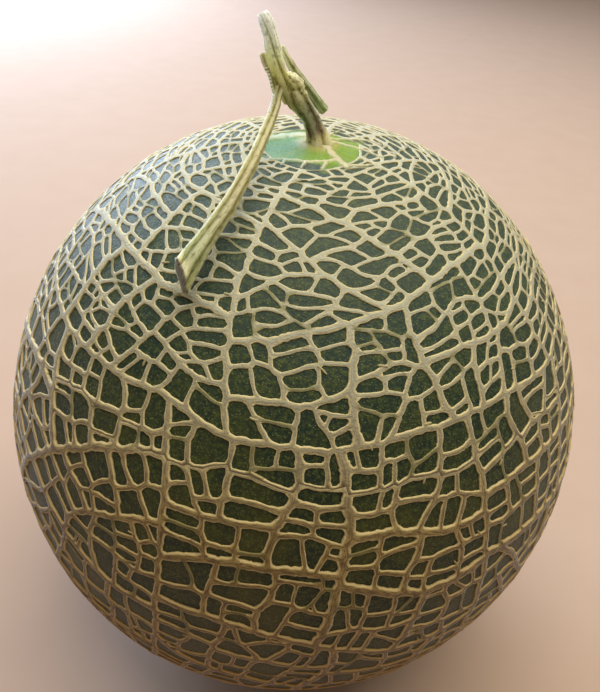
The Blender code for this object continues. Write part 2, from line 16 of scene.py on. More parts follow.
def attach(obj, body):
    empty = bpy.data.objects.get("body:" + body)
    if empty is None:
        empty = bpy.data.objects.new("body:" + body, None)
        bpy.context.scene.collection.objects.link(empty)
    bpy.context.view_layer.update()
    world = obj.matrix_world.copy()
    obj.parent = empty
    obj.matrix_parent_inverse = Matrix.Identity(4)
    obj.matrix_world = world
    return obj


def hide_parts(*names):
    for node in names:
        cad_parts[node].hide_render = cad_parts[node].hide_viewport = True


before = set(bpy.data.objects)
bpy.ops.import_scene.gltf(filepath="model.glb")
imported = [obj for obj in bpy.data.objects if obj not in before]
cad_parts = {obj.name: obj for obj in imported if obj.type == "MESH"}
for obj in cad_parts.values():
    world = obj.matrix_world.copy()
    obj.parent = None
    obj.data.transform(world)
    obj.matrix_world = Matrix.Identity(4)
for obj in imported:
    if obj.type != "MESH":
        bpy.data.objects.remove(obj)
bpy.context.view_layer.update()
MM = 0.001

# The rind
# The fruit's own skin: living green tissue over firm flesh, with a thin natural wax. It is dark
# green with paler specks between the cords of the net, and brighter on the bare disc round the
# stalk, where a few pale cracks run out from the stalk's foot.

EQUATOR_RADIUS = 73.5 * MM
POLE_RADIUS = 77.3 * MM
STALK_DIP = 2.7 * MM
STALK_DIP_ANGLE = 0.21         # how far the dip spreads, in radians from the pole
BULGE = 1.2 * MM               # the fruit is a little fuller low on one side
BULGE_SIDE = np.array([-0.61, -0.20, -0.77])
BULGE_END = 0.5                # it runs out over this angle, in radians, above the flat spot
FOOT_RADIUS = 13.0 * MM        # the flat spot that it rests on
MIDDLE = POLE_RADIUS * math.sqrt(1.0 - (FOOT_RADIUS / EQUATOR_RADIUS) ** 2)
FOOT_ANGLE = math.pi - math.atan2(FOOT_RADIUS, MIDDLE)
DISC_RADIUS = 10.5 * MM        # the bare disc reaches further in front than behind
DISC_OFFSET = (-1.2 * MM, -2.6 * MM)
TOP = MIDDLE + POLE_RADIUS - STALK_DIP

RIND_AROUND = 256              # points round each ring of the rind
RIND_STEP = 1.8 * MM           # between rings, and closer on the disc
DISC_STEP = 0.35 * MM
DISC_SHOWN = 17.0 * MM         # the close rings reach this far from the stalk
FOOT_RINGS = 9                 # places from the edge of the flat spot to its middle
CRACK_HEIGHT = 0.35 * MM
CRACK_CROOK = 0.035            # sideways, as a share of the way to its next place
CRACK_EDGE = (0.45, 1.25)      # a crack's colour fades between these shares of its half width
CRACK_RISE = (2.0 * MM, 4.0 * MM)        # its height begins between these, from the stalk
DISC_WANDER = 0.7 * MM         # of the bare disc's edge
DISC_BLUR = (-0.8 * MM, 1.2 * MM)        # its colour fades over these places beside the edge
DISC_FRONT = (-11.2 * MM, -10.0 * MM)    # it ends here towards -Y, where the net begins
DISC_RIGHT, DISC_BEYOND = (0.5 * MM, 2.0 * MM), 0.7     # but runs on here, by this share
SWELLING = 1.5 * MM            # the disc rises towards the stalk's foot
SWELLING_SPREAD = 4.2 * MM

# Pale cracks of the disc, seen from above: width and places from the stalk, in mm
DISC_CRACKS = (
    (1.90, ((1.2, -1.6), (2.6, -3.6), (3.6, -5.4), (5.2, -8.7), (6.3, -11.0))),
    (1.05, ((4.4, -7.2), (2.4, -9.0), (-1.3, -10.2), (-5.0, -9.9), (-9.6, -10.2))),
    (0.85, ((2.4, 0.6), (5.5, 1.0), (9.3, 0.0), (13.7, -3.7))),
    (0.70, ((2.0, 2.2), (6.0, 4.6), (11.2, 5.2), (14.0, 3.6))),
    (3.00, ((-1.0, 4.4), (-4.5, 4.8), (-8.0, 3.0), (-12.5, 0.0))),
    (0.45, ((0.6, 2.9), (1.8, 6.0), (4.7, 9.6))),
    (0.60, ((-6.3, -10.1), (-7.0, -12.4))),
    (0.60, ((-2.2, -10.2), (-2.9, -13.2))),
    (0.60, ((1.9, -9.5), (1.2, -13.0))),
    (0.80, ((6.0, -10.4), (9.4, -9.6), (12.4, -7.6))),
)


def skin(directions, height=0.0):
    """Points of the skin in the given directions from the fruit's middle, raised by height."""
    d = np.asarray(directions, float)
    x, y, z = d[..., 0], d[..., 1], d[..., 2]
    radius = 1.0 / np.sqrt((x * x + y * y) / EQUATOR_RADIUS ** 2 + z * z / POLE_RADIUS ** 2)
    polar = np.arccos(np.clip(z, -1.0, 1.0))
    radius = radius - STALK_DIP * np.exp(-(polar / STALK_DIP_ANGLE) ** 2)
    fade = np.clip((FOOT_ANGLE - polar) / BULGE_END, 0.0, 1.0)
    radius = radius + BULGE * fade * np.clip(d @ BULGE_SIDE, 0.0, 1.0) ** 3
    points = d * radius[..., None]
    normals = points / np.array([EQUATOR_RADIUS ** 2, EQUATOR_RADIUS ** 2, POLE_RADIUS ** 2])
    normals /= np.linalg.norm(normals, axis=-1, keepdims=True)
    points = points + normals * np.asarray(height)[..., None]
    points[..., 2] = np.maximum(points[..., 2] + MIDDLE, 0.0)
    return points


def unit(v):
    return v / math.sqrt(v @ v)


def towards(polar, azimuth):
    """The direction at a polar angle from +Z and an azimuth from +X."""
    s = math.sin(polar)
    return np.array([s * math.cos(azimuth), s * math.sin(azimuth), math.cos(polar)])


def disc_edge(azimuth):
    """Polar angle of the edge of the bare disc round the stalk."""
    ox, oy = DISC_OFFSET
    along = ox * math.cos(azimuth) + oy * math.sin(azimuth)
    across = ox * math.sin(azimuth) - oy * math.cos(azimuth)
    reach = along + math.sqrt(DISC_RADIUS ** 2 - across ** 2)
    ripple = 1.0 + 0.05 * math.sin(3 * azimuth + 0.6) + 0.04 * math.sin(7 * azimuth)
    return reach * ripple / (POLE_RADIUS - STALK_DIP)


def crack_line(points, number):
    """Points at close steps along one crack of the disc, a little crooked."""
    draw = random.Random(number)
    points = np.array(points) * MM
    line = []
    for start, end in zip(points, points[1:]):
        across = np.array([start[1] - end[1], end[0] - start[0]])
        for share in (0.0, 0.25, 0.5, 0.75):
            line.append(start + (end - start) * share + across * draw.gauss(0.0, CRACK_CROOK))
    return np.array(line + [points[-1]])


def distance_to_line(places, line):
    """Distance from flat places to a line of points, and the share of its length there."""
    best = np.full(len(places), 1.0)
    where = np.zeros(len(places))
    for k, (a, b) in enumerate(zip(line, line[1:])):
        part = np.clip((places - a) @ (b - a) / ((b - a) @ (b - a)), 0.0, 1.0)
        distance = np.linalg.norm(places - a - part[:, None] * (b - a), axis=1)
        nearer = distance < best
        best = np.where(nearer, distance, best)
        where = np.where(nearer, (k + part) / (len(line) - 1), where)
    return best, where


def ripple(places, length, number):
    """Smooth noise of about -1 to 1 over places, with bumps of the given length."""
    draw = random.Random(number)
    total = np.zeros(len(places))
    for _ in range(9):
        way = unit(np.array([draw.gauss(0.0, 1.0) for _ in range(3)]))
        pace = 2.0 * math.pi / length * draw.uniform(0.7, 1.5)
        total += np.sin(places @ way * pace + draw.uniform(0.0, 2.0 * math.pi))
    return total / 3.0


def soft_step(low, high, values):
    """From 0 at the low value to 1 at the high one, without a corner."""
    t = np.clip((values - low) / (high - low), 0.0, 1.0)
    return t * t * (3.0 - 2.0 * t)


def colour(code):
    """An sRGB hex colour as linear red, green, blue and alpha."""
    parts = [int(code[i:i + 2], 16) / 255.0 for i in (1, 3, 5)]
    return tuple(c / 12.92 if c <= 0.04045 else ((c + 0.055) / 1.055) ** 2.4
                 for c in parts) + (1.0,)


def add(tree, kind, inputs=(), **settings):
    """Add a node with its settings, and its inputs as values or as sockets to link from."""
    node = tree.nodes.new(kind)
    for name, value in settings.items():
        setattr(node, name, value)
    for name, value in dict(inputs).items():
        if isinstance(value, bpy.types.NodeSocket):
            tree.links.new(value, node.inputs[name])
        else:
            node.inputs[name].default_value = value
    return node


def new_material(name, **constants):
    """A material with its Principled shader, whose constant values are set on its sockets."""
    material = bpy.data.materials.new(name)
    material.use_nodes = True
    tree = material.node_tree
    shader = tree.nodes["Principled BSDF"]
    for socket, value in constants.items():
        shader.inputs[socket.replace("_", " ")].default_value = value
    return material, tree, shader


def new_piece(name, vertices, faces, material):
    """A smooth mesh object at the origin, unturned and unscaled."""
    mesh = bpy.data.meshes.new(name)
    mesh.from_pydata(vertices, [], faces)
    mesh.materials.append(material)
    mesh.shade_smooth()
    piece = bpy.data.objects.new(name, mesh)
    bpy.context.scene.collection.objects.link(piece)
    return piece


def set_attribute(piece, name, values):
    attribute = piece.data.attributes.new(name, "FLOAT", "POINT")
    attribute.data.foreach_set("value", np.asarray(values, np.float32))


# Rings of directions from the stalk end down to the middle of the flat spot
polar_angles = list(np.arange(DISC_STEP, DISC_SHOWN, DISC_STEP) / POLE_RADIUS)
steps_down = math.ceil((FOOT_ANGLE - polar_angles[-1]) * POLE_RADIUS / RIND_STEP)
polar_angles += list(np.linspace(polar_angles[-1], FOOT_ANGLE, steps_down + 1)[1:])
polar_angles += list(np.linspace(FOOT_ANGLE, math.pi, FOOT_RINGS)[1:-1])
azimuths = 2.0 * math.pi * np.arange(RIND_AROUND) / RIND_AROUND
directions = [(0.0, 0.0, 1.0)]
for polar in polar_angles:
    directions += [towards(polar, azimuth) for azimuth in azimuths]
directions = np.array(directions + [(0.0, 0.0, -1.0)])
faces = []
for j in range(RIND_AROUND):
    k = (j + 1) % RIND_AROUND
    last = 1 + (len(polar_angles) - 1) * RIND_AROUND
    faces.append((0, 1 + j, 1 + k))
    faces.append((last + j, len(directions) - 1, last + k))
    for ring in range(len(polar_angles) - 1):
        a = 1 + ring * RIND_AROUND
        faces.append((a + j, a + RIND_AROUND + j, a + RIND_AROUND + k, a + k))

# The disc's cracks and the swelling round the stalk's foot, as relief
flat = directions[:, :2] * POLE_RADIUS
flat[directions[:, 2] < 0.0] = 1.0
from_stalk = np.linalg.norm(flat, axis=1)
cream = np.zeros(len(directions))
for number, (width, points) in enumerate(DISC_CRACKS):    # each narrows outwards, unevenly
    distance, share = distance_to_line(flat, crack_line(points, number))
    half = 0.5 * width * MM * (1.25 - 0.5 * share) * (1.0 + 0.25 * ripple(directions, 0.02, number))
    cream = np.maximum(cream, 1.0 - soft_step(CRACK_EDGE[0] * half, CRACK_EDGE[1] * half, distance))
relief = CRACK_HEIGHT * cream * soft_step(*CRACK_RISE, from_stalk)
relief += SWELLING * np.exp(-(from_stalk / SWELLING_SPREAD) ** 2)
edge = np.array([disc_edge(math.atan2(y, x)) for x, y in directions[:, :2]]) * POLE_RADIUS
edge = edge + DISC_WANDER * ripple(directions, 0.05, 11)
bare = 1.0 - soft_step(*DISC_BLUR, from_stalk - edge)
in_front = soft_step(*DISC_FRONT, flat[:, 1])
bare = bare * np.maximum(in_front, DISC_BEYOND * soft_step(*DISC_RIGHT, flat[:, 0]))

# Living skin under its own wax: satin and dark between the cords, glossy and bright on the disc.
# The sheen is the wax's haze. Blotches are 11 mm across, and the mottle and the specks, which are
# finer on the fruit, are drawn 0.9 and 0.6 mm across so that they show.
BLOOM_TINT = colour("#D2E6FF")
rind_material, tree, shader = new_material("waxy_green_rind", IOR=1.45, Specular_IOR_Level=0.4,
                                           Sheen_Weight=0.13, Sheen_Roughness=0.4,
                                           Sheen_Tint=BLOOM_TINT)
place = add(tree, "ShaderNodeTexCoord").outputs["Object"]
patches = add(tree, "ShaderNodeTexNoise", {"Vector": place, "Scale": 1.0 / (11.0 * MM), "Detail": 3.0})
patch = add(tree, "ShaderNodeMapRange", {"Value": patches.outputs[0], "From Min": 0.42, "From Max": 0.62})
deep = add(tree, "ShaderNodeMix", {0: patch.outputs[0], 6: colour("#1A2914"), 7: colour("#3F420A")},
           data_type="RGBA")
side = add(tree, "ShaderNodeSeparateXYZ", {0: place})
# Cooler and bluer high up: partly the skin's own cooler tone, partly a painted cool reflection of the
# light.
tone_and_painted_reflection_high = add(tree, "ShaderNodeMapRange", {"Value": side.outputs["Z"], "From Min": 0.095,
                                           "From Max": 0.135, "To Max": 0.8})
mottles = add(tree, "ShaderNodeTexNoise", {"Vector": place, "Scale": 1.0 / (0.9 * MM), "Detail": 5.0,
                                           "Roughness": 0.72})
mottle = add(tree, "ShaderNodeMapRange", {"Value": mottles.outputs[0], "From Min": 0.46,
                                          "From Max": 0.68, "To Max": 0.75})
specks = add(tree, "ShaderNodeTexVoronoi", {"Vector": place, "Scale": 1.0 / (0.60 * MM)})
speck = add(tree, "ShaderNodeMapRange", {"Value": specks.outputs["Distance"], "From Min": 0.34,
                                         "From Max": 0.12, "To Max": 0.32})
# A pale bluish haze near the top: partly wax bloom, partly a painted sheen of the light reflected at
# grazing angles.
wax_bloom_and_painted_sheen = add(tree, "ShaderNodeMapRange", {"Value": side.outputs["Z"], "From Min": 0.126,
                                         "From Max": 0.150, "To Max": 0.07})
# Painted shade: darker and warmer towards the bottom, standing in for shade and warm light from below.
painted_shade_low = add(tree, "ShaderNodeMapRange", {"Value": side.outputs["Z"], "From Min": 0.130,
                                            "From Max": 0.04})
skin_tone = deep
for amount, code, blend in ((tone_and_painted_reflection_high, "#1A342E", "MIX"), (mottle, "#586428", "MIX"),
                            (speck, "#8A965C", "MIX"), (wax_bloom_and_painted_sheen, "#84A09C", "MIX"),
                            (painted_shade_low, "#D4AC58", "MULTIPLY")):
    skin_tone = add(tree, "ShaderNodeMix", {0: amount.outputs[0], 6: skin_tone.outputs[2],
                                            7: colour(code)}, data_type="RGBA", blend_type=blend)
sideways = add(tree, "ShaderNodeMapRange", {"Value": side.outputs["X"], "From Min": -6.0 * MM,
                                            "From Max": -2.0 * MM})
fresh = add(tree, "ShaderNodeMix", {0: sideways.outputs[0], 6: colour("#78AE90"),
                                    7: colour("#7D9E2A")}, data_type="RGBA")
turn = add(tree, "ShaderNodeMath", {0: side.outputs["Y"], 1: side.outputs["X"]},
           operation="ARCTAN2")
rays = add(tree, "ShaderNodeCombineXYZ", {"X": turn.outputs[0], "Y": side.outputs["Z"]})
streaks = add(tree, "ShaderNodeTexNoise", {"Vector": rays.outputs[0], "Scale": 16.0, "Detail": 3.0})
streak = add(tree, "ShaderNodeMapRange", {"Value": streaks.outputs[0], "From Min": 0.45,
                                          "From Max": 0.75, "To Max": 0.7})
from_axis = add(tree, "ShaderNodeVectorMath", {0: place, 1: (1.0, 1.0, 0.0)}, operation="MULTIPLY")
reach = add(tree, "ShaderNodeVectorMath", {0: from_axis.outputs[0]}, operation="LENGTH")
flush = add(tree, "ShaderNodeMapRange", {"Value": reach.outputs["Value"], "From Min": 5.4 * MM,
                                         "From Max": 3.0 * MM, "To Max": 0.85})
disc_tone = fresh
for amount, code in ((streak, "#9DB56B"), (mottle, "#5F8F45"), (flush, "#BDB06A")):
    disc_tone = add(tree, "ShaderNodeMix", {0: amount.outputs[0], 6: disc_tone.outputs[2],
                                            7: colour(code)}, data_type="RGBA")
bareness = add(tree, "ShaderNodeAttribute", attribute_name="bare")
skin_colour = add(tree, "ShaderNodeMix", {0: bareness.outputs["Fac"], 6: skin_tone.outputs[2],
                                          7: disc_tone.outputs[2]}, data_type="RGBA")
pale = add(tree, "ShaderNodeAttribute", attribute_name="cream")
healed = add(tree, "ShaderNodeMix", {0: sideways.outputs[0], 6: colour("#C4D4C0"),
                                     7: colour("#CFCBA8")}, data_type="RGBA")
final = add(tree, "ShaderNodeMix", {0: pale.outputs["Fac"], 6: skin_colour.outputs[2],
                                    7: healed.outputs[2]}, data_type="RGBA")
tree.links.new(final.outputs[2], shader.inputs["Base Color"])
gloss = add(tree, "ShaderNodeMapRange", {"Value": bareness.outputs["Fac"], "To Min": 0.55,
                                         "To Max": 0.24})
tree.links.new(gloss.outputs[0], shader.inputs["Roughness"])
relief_here = add(tree, "ShaderNodeMath", {0: speck.outputs[0], 1: mottles.outputs[0]},
                  operation="ADD")
bump = add(tree, "ShaderNodeBump", {"Height": relief_here.outputs[0], "Strength": 0.9,
                                    "Distance": 0.22 * MM})
tree.links.new(bump.outputs[0], shader.inputs["Normal"])

rind = new_piece("rind", skin(directions, relief), faces, rind_material)
set_attribute(rind, "cream", cream)
set_attribute(rind, "bare", bare)
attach(rind, "root")
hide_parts("fruit")

# The net
# A corky net that healed the cracks of the growing skin: dry, dull, tan tissue raised from the
# rind. The cracks opened one after another, each running across from older ones, so the cords
# end in T joints. The older a cord, the broader and higher it is.

NET_SEED = 20
CANDIDATES = 8                 # cords drawn for each cell, of which the best is laid
TRIES = 6                      # times that a cell is tried before it waits its turn again
DEMOTION = 0.6                 # with this share of its rank
CUT_TURN, CUT_SHIFT = 0.30, 0.9         # spread of a cord's turn, and most of its shift aside
MERIT_LUCK, LEAN_LOSS = 0.06, 0.25      # what chance adds to a cord's merit, and leaning takes
WIDTH_SPREAD = (0.88, 1.12)    # of a cord's width
BEND_SPREAD = 0.20             # of its ends' direction, in radians
LEAST_TURN = 0.01              # of a sound cell's outline, as its middle sees it
LANDING_ROOM = 3.0             # an edge this many times the shortest always takes a cord's end
UNEVENNESS = 0.42              # spread of the cells' sizes, as a logarithm
SHORTEST_EDGE = 0.85 * MM      # junctions of cords stay this far apart
SMALLEST_CELL = 9.0 * MM ** 2  # one that can't be split waits again only if ranked above this
NARROWEST_CELL = 0.9 * MM      # twice its area over the length of its outline
MOST_BOW, MOST_SWAY = 0.12, 0.04        # how far a cord bends aside, as shares of its length
OUTLINE_STEP = 3.0 * MM        # how closely a cell's outline is looked at
LATE_UNEVENNESS = 0.34         # the same spread for the finer cells
LEAST_CHANCE = 0.80            # no finer cell's turn comes later than this share of its rank
MAIN_CELLS, NET_CELLS = 372, 2650       # of the solid fruit's net, and of this finer one
FIRST_BANDS = (5, 6, 5)        # cells in each band of the first ones, from the top down
BAND_EDGES = (None, 0.92, 1.95, FOOT_ANGLE)     # the disc's edge, then polar angles
FEWEST_ON_EDGE = (14, 8, 8, 24)         # points round each of those edges
JOINT_SPREAD, EDGE_SPREAD = 0.12, 0.05  # of their places, round and down, in radians
FIRST_BOW = 0.08               # most bow of the first cords between them
RING_HALF_WIDTH, DISC_RING_HALF_WIDTH = 0.74 * MM, 0.38 * MM    # of the cords along those edges
DOWNWARD_HALF_WIDTH = 0.76 * MM         # and of the first ones between them
LEAST_HALF_WIDTH, MOST_HALF_WIDTH = 0.39 * MM, 0.96 * MM        # of those that split cells
WIDTH_GAIN = 0.0165            # added, as a share of the side of the cell that it splits
CORNER_SHARE, SLIT_SHARE = 0.18, 0.07   # of the cells, with a cord laid late across them
CUT_REACH = (2.1 * MM, 3.4 * MM)        # of a late cord from the corner that it cuts off
SLIT_REACH = 0.62                       # the same beside a cord, as a share
CUT_HALF_WIDTH = (0.32 * MM, 0.44 * MM)
CUT_REACH_SPREAD, CUT_BEND = (0.85, 1.15), 0.3  # chance in its reach and in its ends
NARROWEST_GAP = 0.5 * MM       # of the cells that late cords leave, measured as above
CORD_SPACING = 1.15 * MM       # at most this far between points along a cord
DRIFT_WAVES = ((9.0, 0.013),) * 3 + ((19.0, 0.005),) * 2    # waves round the skin and their size
CROOKS = ((9.0 * MM, 0.40 * MM, 31), (4.5 * MM, 0.16 * MM, 41))   # length, size and draw of bends
CROOK_PART = 0.6               # of that size, in each of three directions
SETTLE_ROUNDS = 2              # times that each point is pulled towards its neighbours
SETTLE_PULL = 0.5              # by this share of the way to their middle
CORD_TALLNESS = 0.47           # height of a cord, as a share of half its width
CREST = 0.86                   # height of its middle, a little lower than its rims
PROFILE = ((0.76, 1.0), (0.94, 0.60))   # rim and shoulder: share of half width, share of height
YOUNG_SHARE, YOUNG_WIDTH = 0.20, 0.58 * MM     # of the thin cords, those that healed last
YOUNG_SEED, YOUNG_LOSS = 9, 0.28               # and how much narrower and lower they are
FOOT_DEPTH = 0.12 * MM         # cords stand in the rind by this much at their edges
ROOT_DEPTH = 0.35 * MM         # and by this much below their middles
THIN_AT_TOP = 0.30             # cords are thinner by this share near the stalk end
THIN_BETWEEN = (0.45, 0.85)    # from none to all of it, between these upward parts of a direction
UNEVEN_HEIGHT, EDGE_WOBBLE = 0.10, 0.16 # of a cord's height and of its width
RING_TESTS, RING_REACH = 48, 0.93       # places looked at on the way to a cell's middle
CORNER_ROUNDNESS = 0.11        # of a cell's corners, in half widths
GRAIN_SCALE = 100.0            # the grain's map counts in centimetres
GRAIN_SHIFT = 0.04             # metres along it from one cord to the next
NET_PIECES = ("net_upper", "net_middle", "net_lower")


class Net:
    """The net's cords, as arcs that split the skin into cells again and again.

    Each cord runs across one cell, from side to side, so it ends in a T on older
    cords, as the cracks that the net grows in do. The largest cells split first.
    """

    def __init__(self, seed):
        self.draw = random.Random(seed)
        self.points = []       # directions of the junctions
        self.cords = []        # (start, end, bow, sway, half width)
        self.edges = {}        # (a, b) -> (cord, share at a, share at b)
        self.owner = {}        # (a, b) -> the cell on the left of a to b
        self.cells = {}        # cell -> its junctions, counterclockwise from outside
        self.queue = []
        self.narrowest = NARROWEST_CELL
        self.late = False      # whether the cords are finer than the solid fruit's

    def add_point(self, direction):
        self.points.append(unit(direction))
        return len(self.points) - 1

    def add_cord(self, a, b, bow, sway, half_width):
        self.cords.append((self.points[a], self.points[b], bow, sway, half_width))
        self.set_edge(a, b, len(self.cords) - 1, 0.0, 1.0)

    def set_edge(self, a, b, cord, share_a, share_b):
        self.edges[a, b] = (cord, share_a, share_b)
        self.edges[b, a] = (cord, share_b, share_a)

    def on_cord(self, cord, share):
        """The direction at a share of a cord's length, on its bowed arc."""
        start, end, bow, sway, _ = self.cords[cord]
        normal = np.cross(start, end)
        size = math.sqrt(normal @ normal)
        angle = math.atan2(size, start @ end)
        straight = (math.sin((1 - share) * angle) * start + math.sin(share * angle) * end) / size
        aside = bow * 4 * share * (1 - share) + sway * math.sin(2 * math.pi * share)
        return unit(straight + normal / size * aside * angle)

    def edge_points(self, a, b, step):
        """Directions from a up to b, without b, at most a step apart."""
        cord, share_a, share_b = self.edges[a, b]
        parts = max(1, math.ceil(self.edge_length(a, b) / step))
        shares = [share_a + (share_b - share_a) * j / parts for j in range(1, parts)]
        return [self.points[a]] + [self.on_cord(cord, share) for share in shares]

    def edge_length(self, a, b):
        return math.dist(self.points[a], self.points[b]) * EQUATOR_RADIUS

    def add_cell(self, junctions):
        number = len(self.cells)
        self.cells[number] = junctions
        for a, b in zip(junctions, junctions[1:] + junctions[:1]):
            self.owner[a, b] = number
        return number

    def flatten(self, junctions, step):
        """A cell's outline on the plane that touches the sphere at its middle."""
        outline, places = [], []
        for k, a in enumerate(junctions):
            b = junctions[(k + 1) % len(junctions)]
            run = self.edge_points(a, b, step)
            outline += run
            places += [(k, j / len(run)) for j in range(len(run))]
        outline = np.array(outline)
        middle = unit(outline.mean(axis=0))
        for _ in range(2):
            east = unit(np.cross([0.0, 0.0, 1.0], middle))
            north = np.cross(middle, east)
            depth = outline @ middle
            flat = np.stack([outline @ east, outline @ north], axis=1) / depth[:, None]
            area, centre, spread = outline_moments(flat)
            middle = unit(middle + east * centre[0] + north * centre[1])
        return flat - centre, places, area, spread, middle

    def line_up(self, cell):
        """Queue a cell to be split, the largest for its place first."""
        _, _, area, _, middle = self.flatten(self.cells[cell], 4 * OUTLINE_STEP)
        luck = self.draw.gauss(0.0, 1.0)
        if self.late:
            rank = late_crowding(middle) * max(math.exp(LATE_UNEVENNESS * luck), LEAST_CHANCE)
        else:
            rank = crowding(middle) * math.exp(UNEVENNESS * luck)
        heapq.heappush(self.queue, (-area * rank, cell))

    def split_next(self):
        """Split the first cell in the queue, or put it back among smaller ones if it can't be."""
        rank, cell = heapq.heappop(self.queue)
        for _ in range(TRIES):
            parts = self.try_split(cell)
            if parts:
                for part in parts:
                    self.line_up(part)
                return
        if -rank * EQUATOR_RADIUS ** 2 > SMALLEST_CELL:
            heapq.heappush(self.queue, (DEMOTION * rank, cell))

    def try_split(self, cell):
        """Lay the best of some cords drawn across a cell. None if it would leave a poor cell."""
        flat, places, area, spread, middle = self.flatten(self.cells[cell], OUTLINE_STEP)
        stretch = late_stretch(middle) if self.late else cell_stretch(middle)
        scale = np.array([1.0 / stretch, 1.0])
        sizes, axes = np.linalg.eigh(spread * np.outer(scale, scale))
        best = None
        for _ in range(CANDIDATES):
            turn = self.draw.gauss(0.0, CUT_TURN)
            shift = self.draw.uniform(-CUT_SHIFT, CUT_SHIFT) * math.sqrt(max(sizes[1], 0.0))
            across = (math.cos(turn) * axes[:, 0] + math.sin(turn) * axes[:, 1]) / scale
            across /= math.hypot(*across)
            cut = find_cut(flat, axes[:, 1] / scale * shift, across)
            if cut:
                merit = part_roundness(flat * scale, cut) + self.draw.uniform(0.0, MERIT_LUCK)
                merit -= LEAN_LOSS * max(abs(lean) for lean in cut_leans(flat, cut))
                if best is None or merit > best[0]:
                    best = (merit, cut)
        if best is None:
            return None
        cut = best[1]
        ends = []
        for i, share, _ in cut:
            edge, part = places[i]
            following = places[(i + 1) % len(flat)]
            next_part = following[1] if following[0] == edge else 1.0
            ends.append(self.landing(self.cells[cell], edge, part + share * (next_part - part)))
        (edge_p, share_p), (edge_q, share_q) = ends
        size = len(self.cells[cell])
        near = (edge_p - edge_q) % size in (1, size - 1) and share_p == share_q == 0.0
        if near or edge_p == edge_q:
            return None
        half_width = cord_half_width(area * EQUATOR_RADIUS ** 2) * self.draw.uniform(*WIDTH_SPREAD)
        bend = [lean + self.draw.gauss(0.0, BEND_SPREAD) for lean in cut_leans(flat, cut)]
        return self.lay_cord(cell, ends, bend, half_width)

    def landing(self, junctions, edge, share):
        """Where a cord may land on an edge: clear of its ends, or on one of them."""
        a = junctions[edge]
        b = junctions[(edge + 1) % len(junctions)]
        length = self.edge_length(a, b)
        clear = SHORTEST_EDGE / max(length, 1e-9)
        if clear < share < 1.0 - clear:
            return edge, share
        if length > LANDING_ROOM * SHORTEST_EDGE:
            return edge, min(max(share, clear), 1.0 - clear)
        return (edge, 0.0) if share < 0.5 else ((edge + 1) % len(junctions), 0.0)

    def lay_cord(self, cell, ends, bend, half_width):
        """Split a cell by a cord between two places on its outline, as (edge, share)."""
        old = list(self.cells[cell])
        placed = []
        inserted = []
        for edge, share in ends:
            a, b = old[edge], old[(edge + 1) % len(old)]
            if share == 0.0:
                placed.append((edge, share, a))
                continue
            cord, share_a, share_b = self.edges[a, b]
            along = share_a + (share_b - share_a) * share
            p = self.add_point(self.on_cord(cord, along))
            placed.append((edge, share, p))
            inserted.append((a, b, p))
            self.set_edge(a, p, cord, share_a, along)
            self.set_edge(p, b, cord, along, share_b)
        junctions = []
        for edge, a in enumerate(old):
            junctions.append(a)
            junctions += [p for e, share, p in placed if e == edge and share > 0.0]
        p, q = (p for _, _, p in placed)
        i, j = sorted((junctions.index(p), junctions.index(q)))
        first, second = junctions[i:j + 1], junctions[j:] + junctions[:i + 1]
        if first[0] != p:
            bend = [-bend[1], -bend[0]]
        bow = max(-MOST_BOW, min(MOST_BOW, (bend[0] - bend[1]) / 8.0))
        sway = max(-MOST_SWAY, min(MOST_SWAY, (bend[0] + bend[1]) / (4.0 * math.pi)))
        self.add_cord(first[0], first[-1], bow, sway, half_width)
        if not (self.is_sound(first) and self.is_sound(second)):
            self.cords.pop()
            self.drop_edge(first[0], first[-1])
            for a, b, p in inserted:
                self.drop_edge(a, p)
                self.drop_edge(p, b)
                self.points.pop()
            return None
        for a, b, p in inserted:
            self.drop_edge(a, b)
            neighbour = self.owner.pop((b, a))
            del self.owner[a, b]
            around = self.cells[neighbour]
            around.insert(around.index(b) + 1, p)
            self.owner[b, p] = self.owner[p, a] = neighbour
        self.cells[cell] = first
        for a, b in zip(first, first[1:] + first[:1]):
            self.owner[a, b] = cell
        return cell, self.add_cell(second)

    def drop_edge(self, a, b):
        del self.edges[a, b], self.edges[b, a]

    def is_sound(self, junctions):
        """Whether a cell is wide enough and all of its outline shows from its middle."""
        if len(junctions) < 3:
            return False
        flat, _, area, _, _ = self.flatten(junctions, OUTLINE_STEP)
        following = np.roll(flat, -1, axis=0)
        turns = flat[:, 0] * following[:, 1] - flat[:, 1] * following[:, 0]
        sides = np.linalg.norm(following - flat, axis=1)
        if (turns <= LEAST_TURN * sides * np.linalg.norm(flat, axis=1)).any():
            return False
        return 2.0 * area / sides.sum() * EQUATOR_RADIUS > self.narrowest


def crowding(direction):
    """How much finer the net is here: finer at the stalk end and in some patches."""
    x, y, z = direction
    polar = math.acos(max(-1.0, min(1.0, z)))
    patch = math.sin(5.1 * x + 1.3) * math.sin(4.3 * y - 0.4)
    patch += 0.6 * math.sin(11.0 * x - 7.0 * z) * math.sin(9.0 * y)
    return 1.0 + 1.1 * math.exp(-(polar / 0.55) ** 2) + 0.30 * patch


def cell_stretch(direction):
    """How much wider than tall the cells are here: wide above the middle, tall below it."""
    return 1.0 + 0.40 * smooth((direction[2] + 0.15) / 0.8) - 0.16 * smooth(-direction[2] / 0.6)


def late_crowding(direction):
    """The crowding for the finer cords, which are closest round the disc."""
    x, y, z = direction
    patch = math.sin(5.1 * x + 1.3) * math.sin(4.3 * y - 0.4)
    patch += 0.7 * math.sin(13.0 * x - 7.0 * z) * math.sin(11.0 * y + 1.0)
    height = 1.0 + 0.4 * smooth((z + 0.25) / 0.9) + 1.1 * smooth((z - 0.5) / 0.4)
    height += 2.0 * smooth((z - 0.86) / 0.12) - 0.20 * smooth(-z / 0.7)
    return height * (1.0 + 0.17 * patch)


def late_stretch(direction):
    """The stretch for the finer cords' cells: long along the parallels round the disc."""
    z = direction[2]
    return 1.0 + 0.25 * smooth((z + 0.15) / 0.8) + 0.85 * smooth((z - 0.62) / 0.3) \
        - 0.20 * smooth(-z / 0.6)


